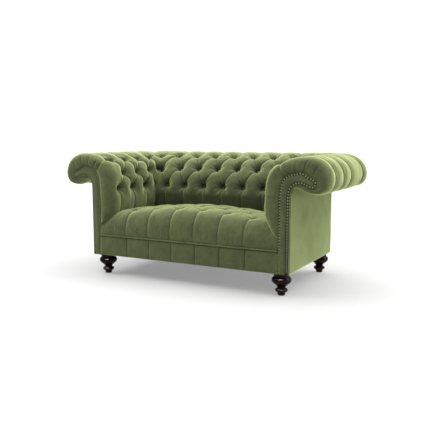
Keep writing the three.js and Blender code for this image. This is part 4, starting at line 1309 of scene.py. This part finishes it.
# Floor, light and camera
studio = {
    "floor": tone(0.345, 0.345, 0.345),
    "floorGlow": 0.27,
    "keyStrength": 5.4,
    "keyAngle": 92,
    "sideStrength": 2.1,
    "sideAngle": 26,
    "glintStrength": 0.9,
    "glintAngle": 6,
    "glints": (
        ("frontGlint", 50, -54, 0.35), ("middleGlint", 50, -70, 0.35),
        ("leftGlint", 40, -154, 0.6), ("rightGlint", 40, 36, 0.7),
    ),
    "sparks": (
        ("sparkOne", 50, -106, 3.6), ("sparkTwo", 50, -92, 3.6), ("sparkThree", 50, -78, 3.6),
        ("sparkFour", 50, -64, 3.6), ("sparkFive", 50, -50, 3.6),
        ("leftSpark", 50, -154, 6.0), ("rightSpark", 62, 40, 10.0),
    ),
    "worldFront": tone(0.165, 0.165, 0.172),
    "worldBack": tone(1.1, 1.1, 1.1),
}


def floor():
    mesh = bpy.data.meshes.new("studioFloor")
    reach = 40
    mesh.from_pydata([(-reach, -reach, 0), (reach, -reach, 0), (reach, reach, 0), (-reach, reach, 0)], [], [(0, 1, 2, 3)])
    piece = bpy.data.objects.new("studioFloor", mesh)
    scene.collection.objects.link(piece)

    def links(shader):
        place = shader.node("TexCoord", output=3)
        cloud = shader.node("TexNoise", {}, {"Vector": place, "Scale": 0.4, "Detail": 2})
        color = shader.colorMix(cloud, studio["floor"], tone(0.35, 0.35, 0.35))
        return {"Base Color": color, "Roughness": 0.8 + cloud * 0.1}
    constants = {"Specular IOR Level": 0.0, "Emission Color": tone(1, 1, 1), "Emission Strength": studio["floorGlow"]}
    mesh.materials.append(principled("paleFloor", constants, links))


def sun(name, elevation, azimuth, strength, angle, color=(1, 1, 1)):  # azimuth from +X towards +Y
    light = bpy.data.lights.new(name, "SUN")
    light.energy, light.angle, light.color = strength, math.radians(angle), color
    lamp = bpy.data.objects.new(name, light)
    scene.collection.objects.link(lamp)
    e, a = math.radians(elevation), math.radians(azimuth)
    towards = Vector((math.cos(e) * math.cos(a), math.cos(e) * math.sin(a), math.sin(e)))
    lamp.rotation_euler = towards.to_track_quat("Z", "Y").to_euler()
    return lamp


def surround():
    world = bpy.data.worlds.new("studioWorld")
    scene.world = world
    shader = Shader(world)
    place = shader.node("TexCoord", output=0)
    apart = shader.node("SeparateXYZ", {}, {0: place})
    behind = Value(shader, apart.socket.node.outputs[1])
    share = shader.node("MapRange", {"interpolation_type": "SMOOTHSTEP"}, {0: behind * 0.9 + apart * 0.25, 1: -0.2, 2: 0.55})
    lit = shader.colorMix(share, studio["worldFront"], studio["worldBack"])
    seen = shader.node("LightPath")
    color = shader.colorMix(seen, lit, studio["worldBack"])
    light = shader.node("Background", {}, {"Color": color, "Strength": 1.0})
    shader.node("OutputWorld", {}, {"Surface": light})


camera = {
    "place": (1.7782, -2.9106, 0.8544),  # depth from the facings
    "pitch": 82.334,
    "yaw": 27.94,
    "focalPixels": 596.03,
    "imagePixels": 436,
}


def makeCamera():
    data = bpy.data.cameras.new("photoCamera")
    data.sensor_width = 36
    data.lens = camera["focalPixels"] / camera["imagePixels"] * data.sensor_width
    view = bpy.data.objects.new("photoCamera", data)
    scene.collection.objects.link(view)
    x, depth, z = camera["place"]
    view.location = (x, depth + frontY, z)
    view.rotation_euler = (math.radians(camera["pitch"]), 0, math.radians(camera["yaw"]))
    scene.camera = view


floor()
surround()
sun("keySun", 73, 122, studio["keyStrength"], studio["keyAngle"])
sun("sideSun", 5, 14, studio["sideStrength"], studio["sideAngle"])
for name, elevation, azimuth, share in studio["glints"]:
    sun(name, elevation, azimuth, studio["glintStrength"] * share, studio["glintAngle"])
for name, elevation, azimuth, strength in studio["sparks"]:
    sun(name, elevation, azimuth, strength, studio["glintAngle"]).visible_diffuse = False
makeCamera()
scene.view_settings.view_transform = "Standard"
print("studio ready")
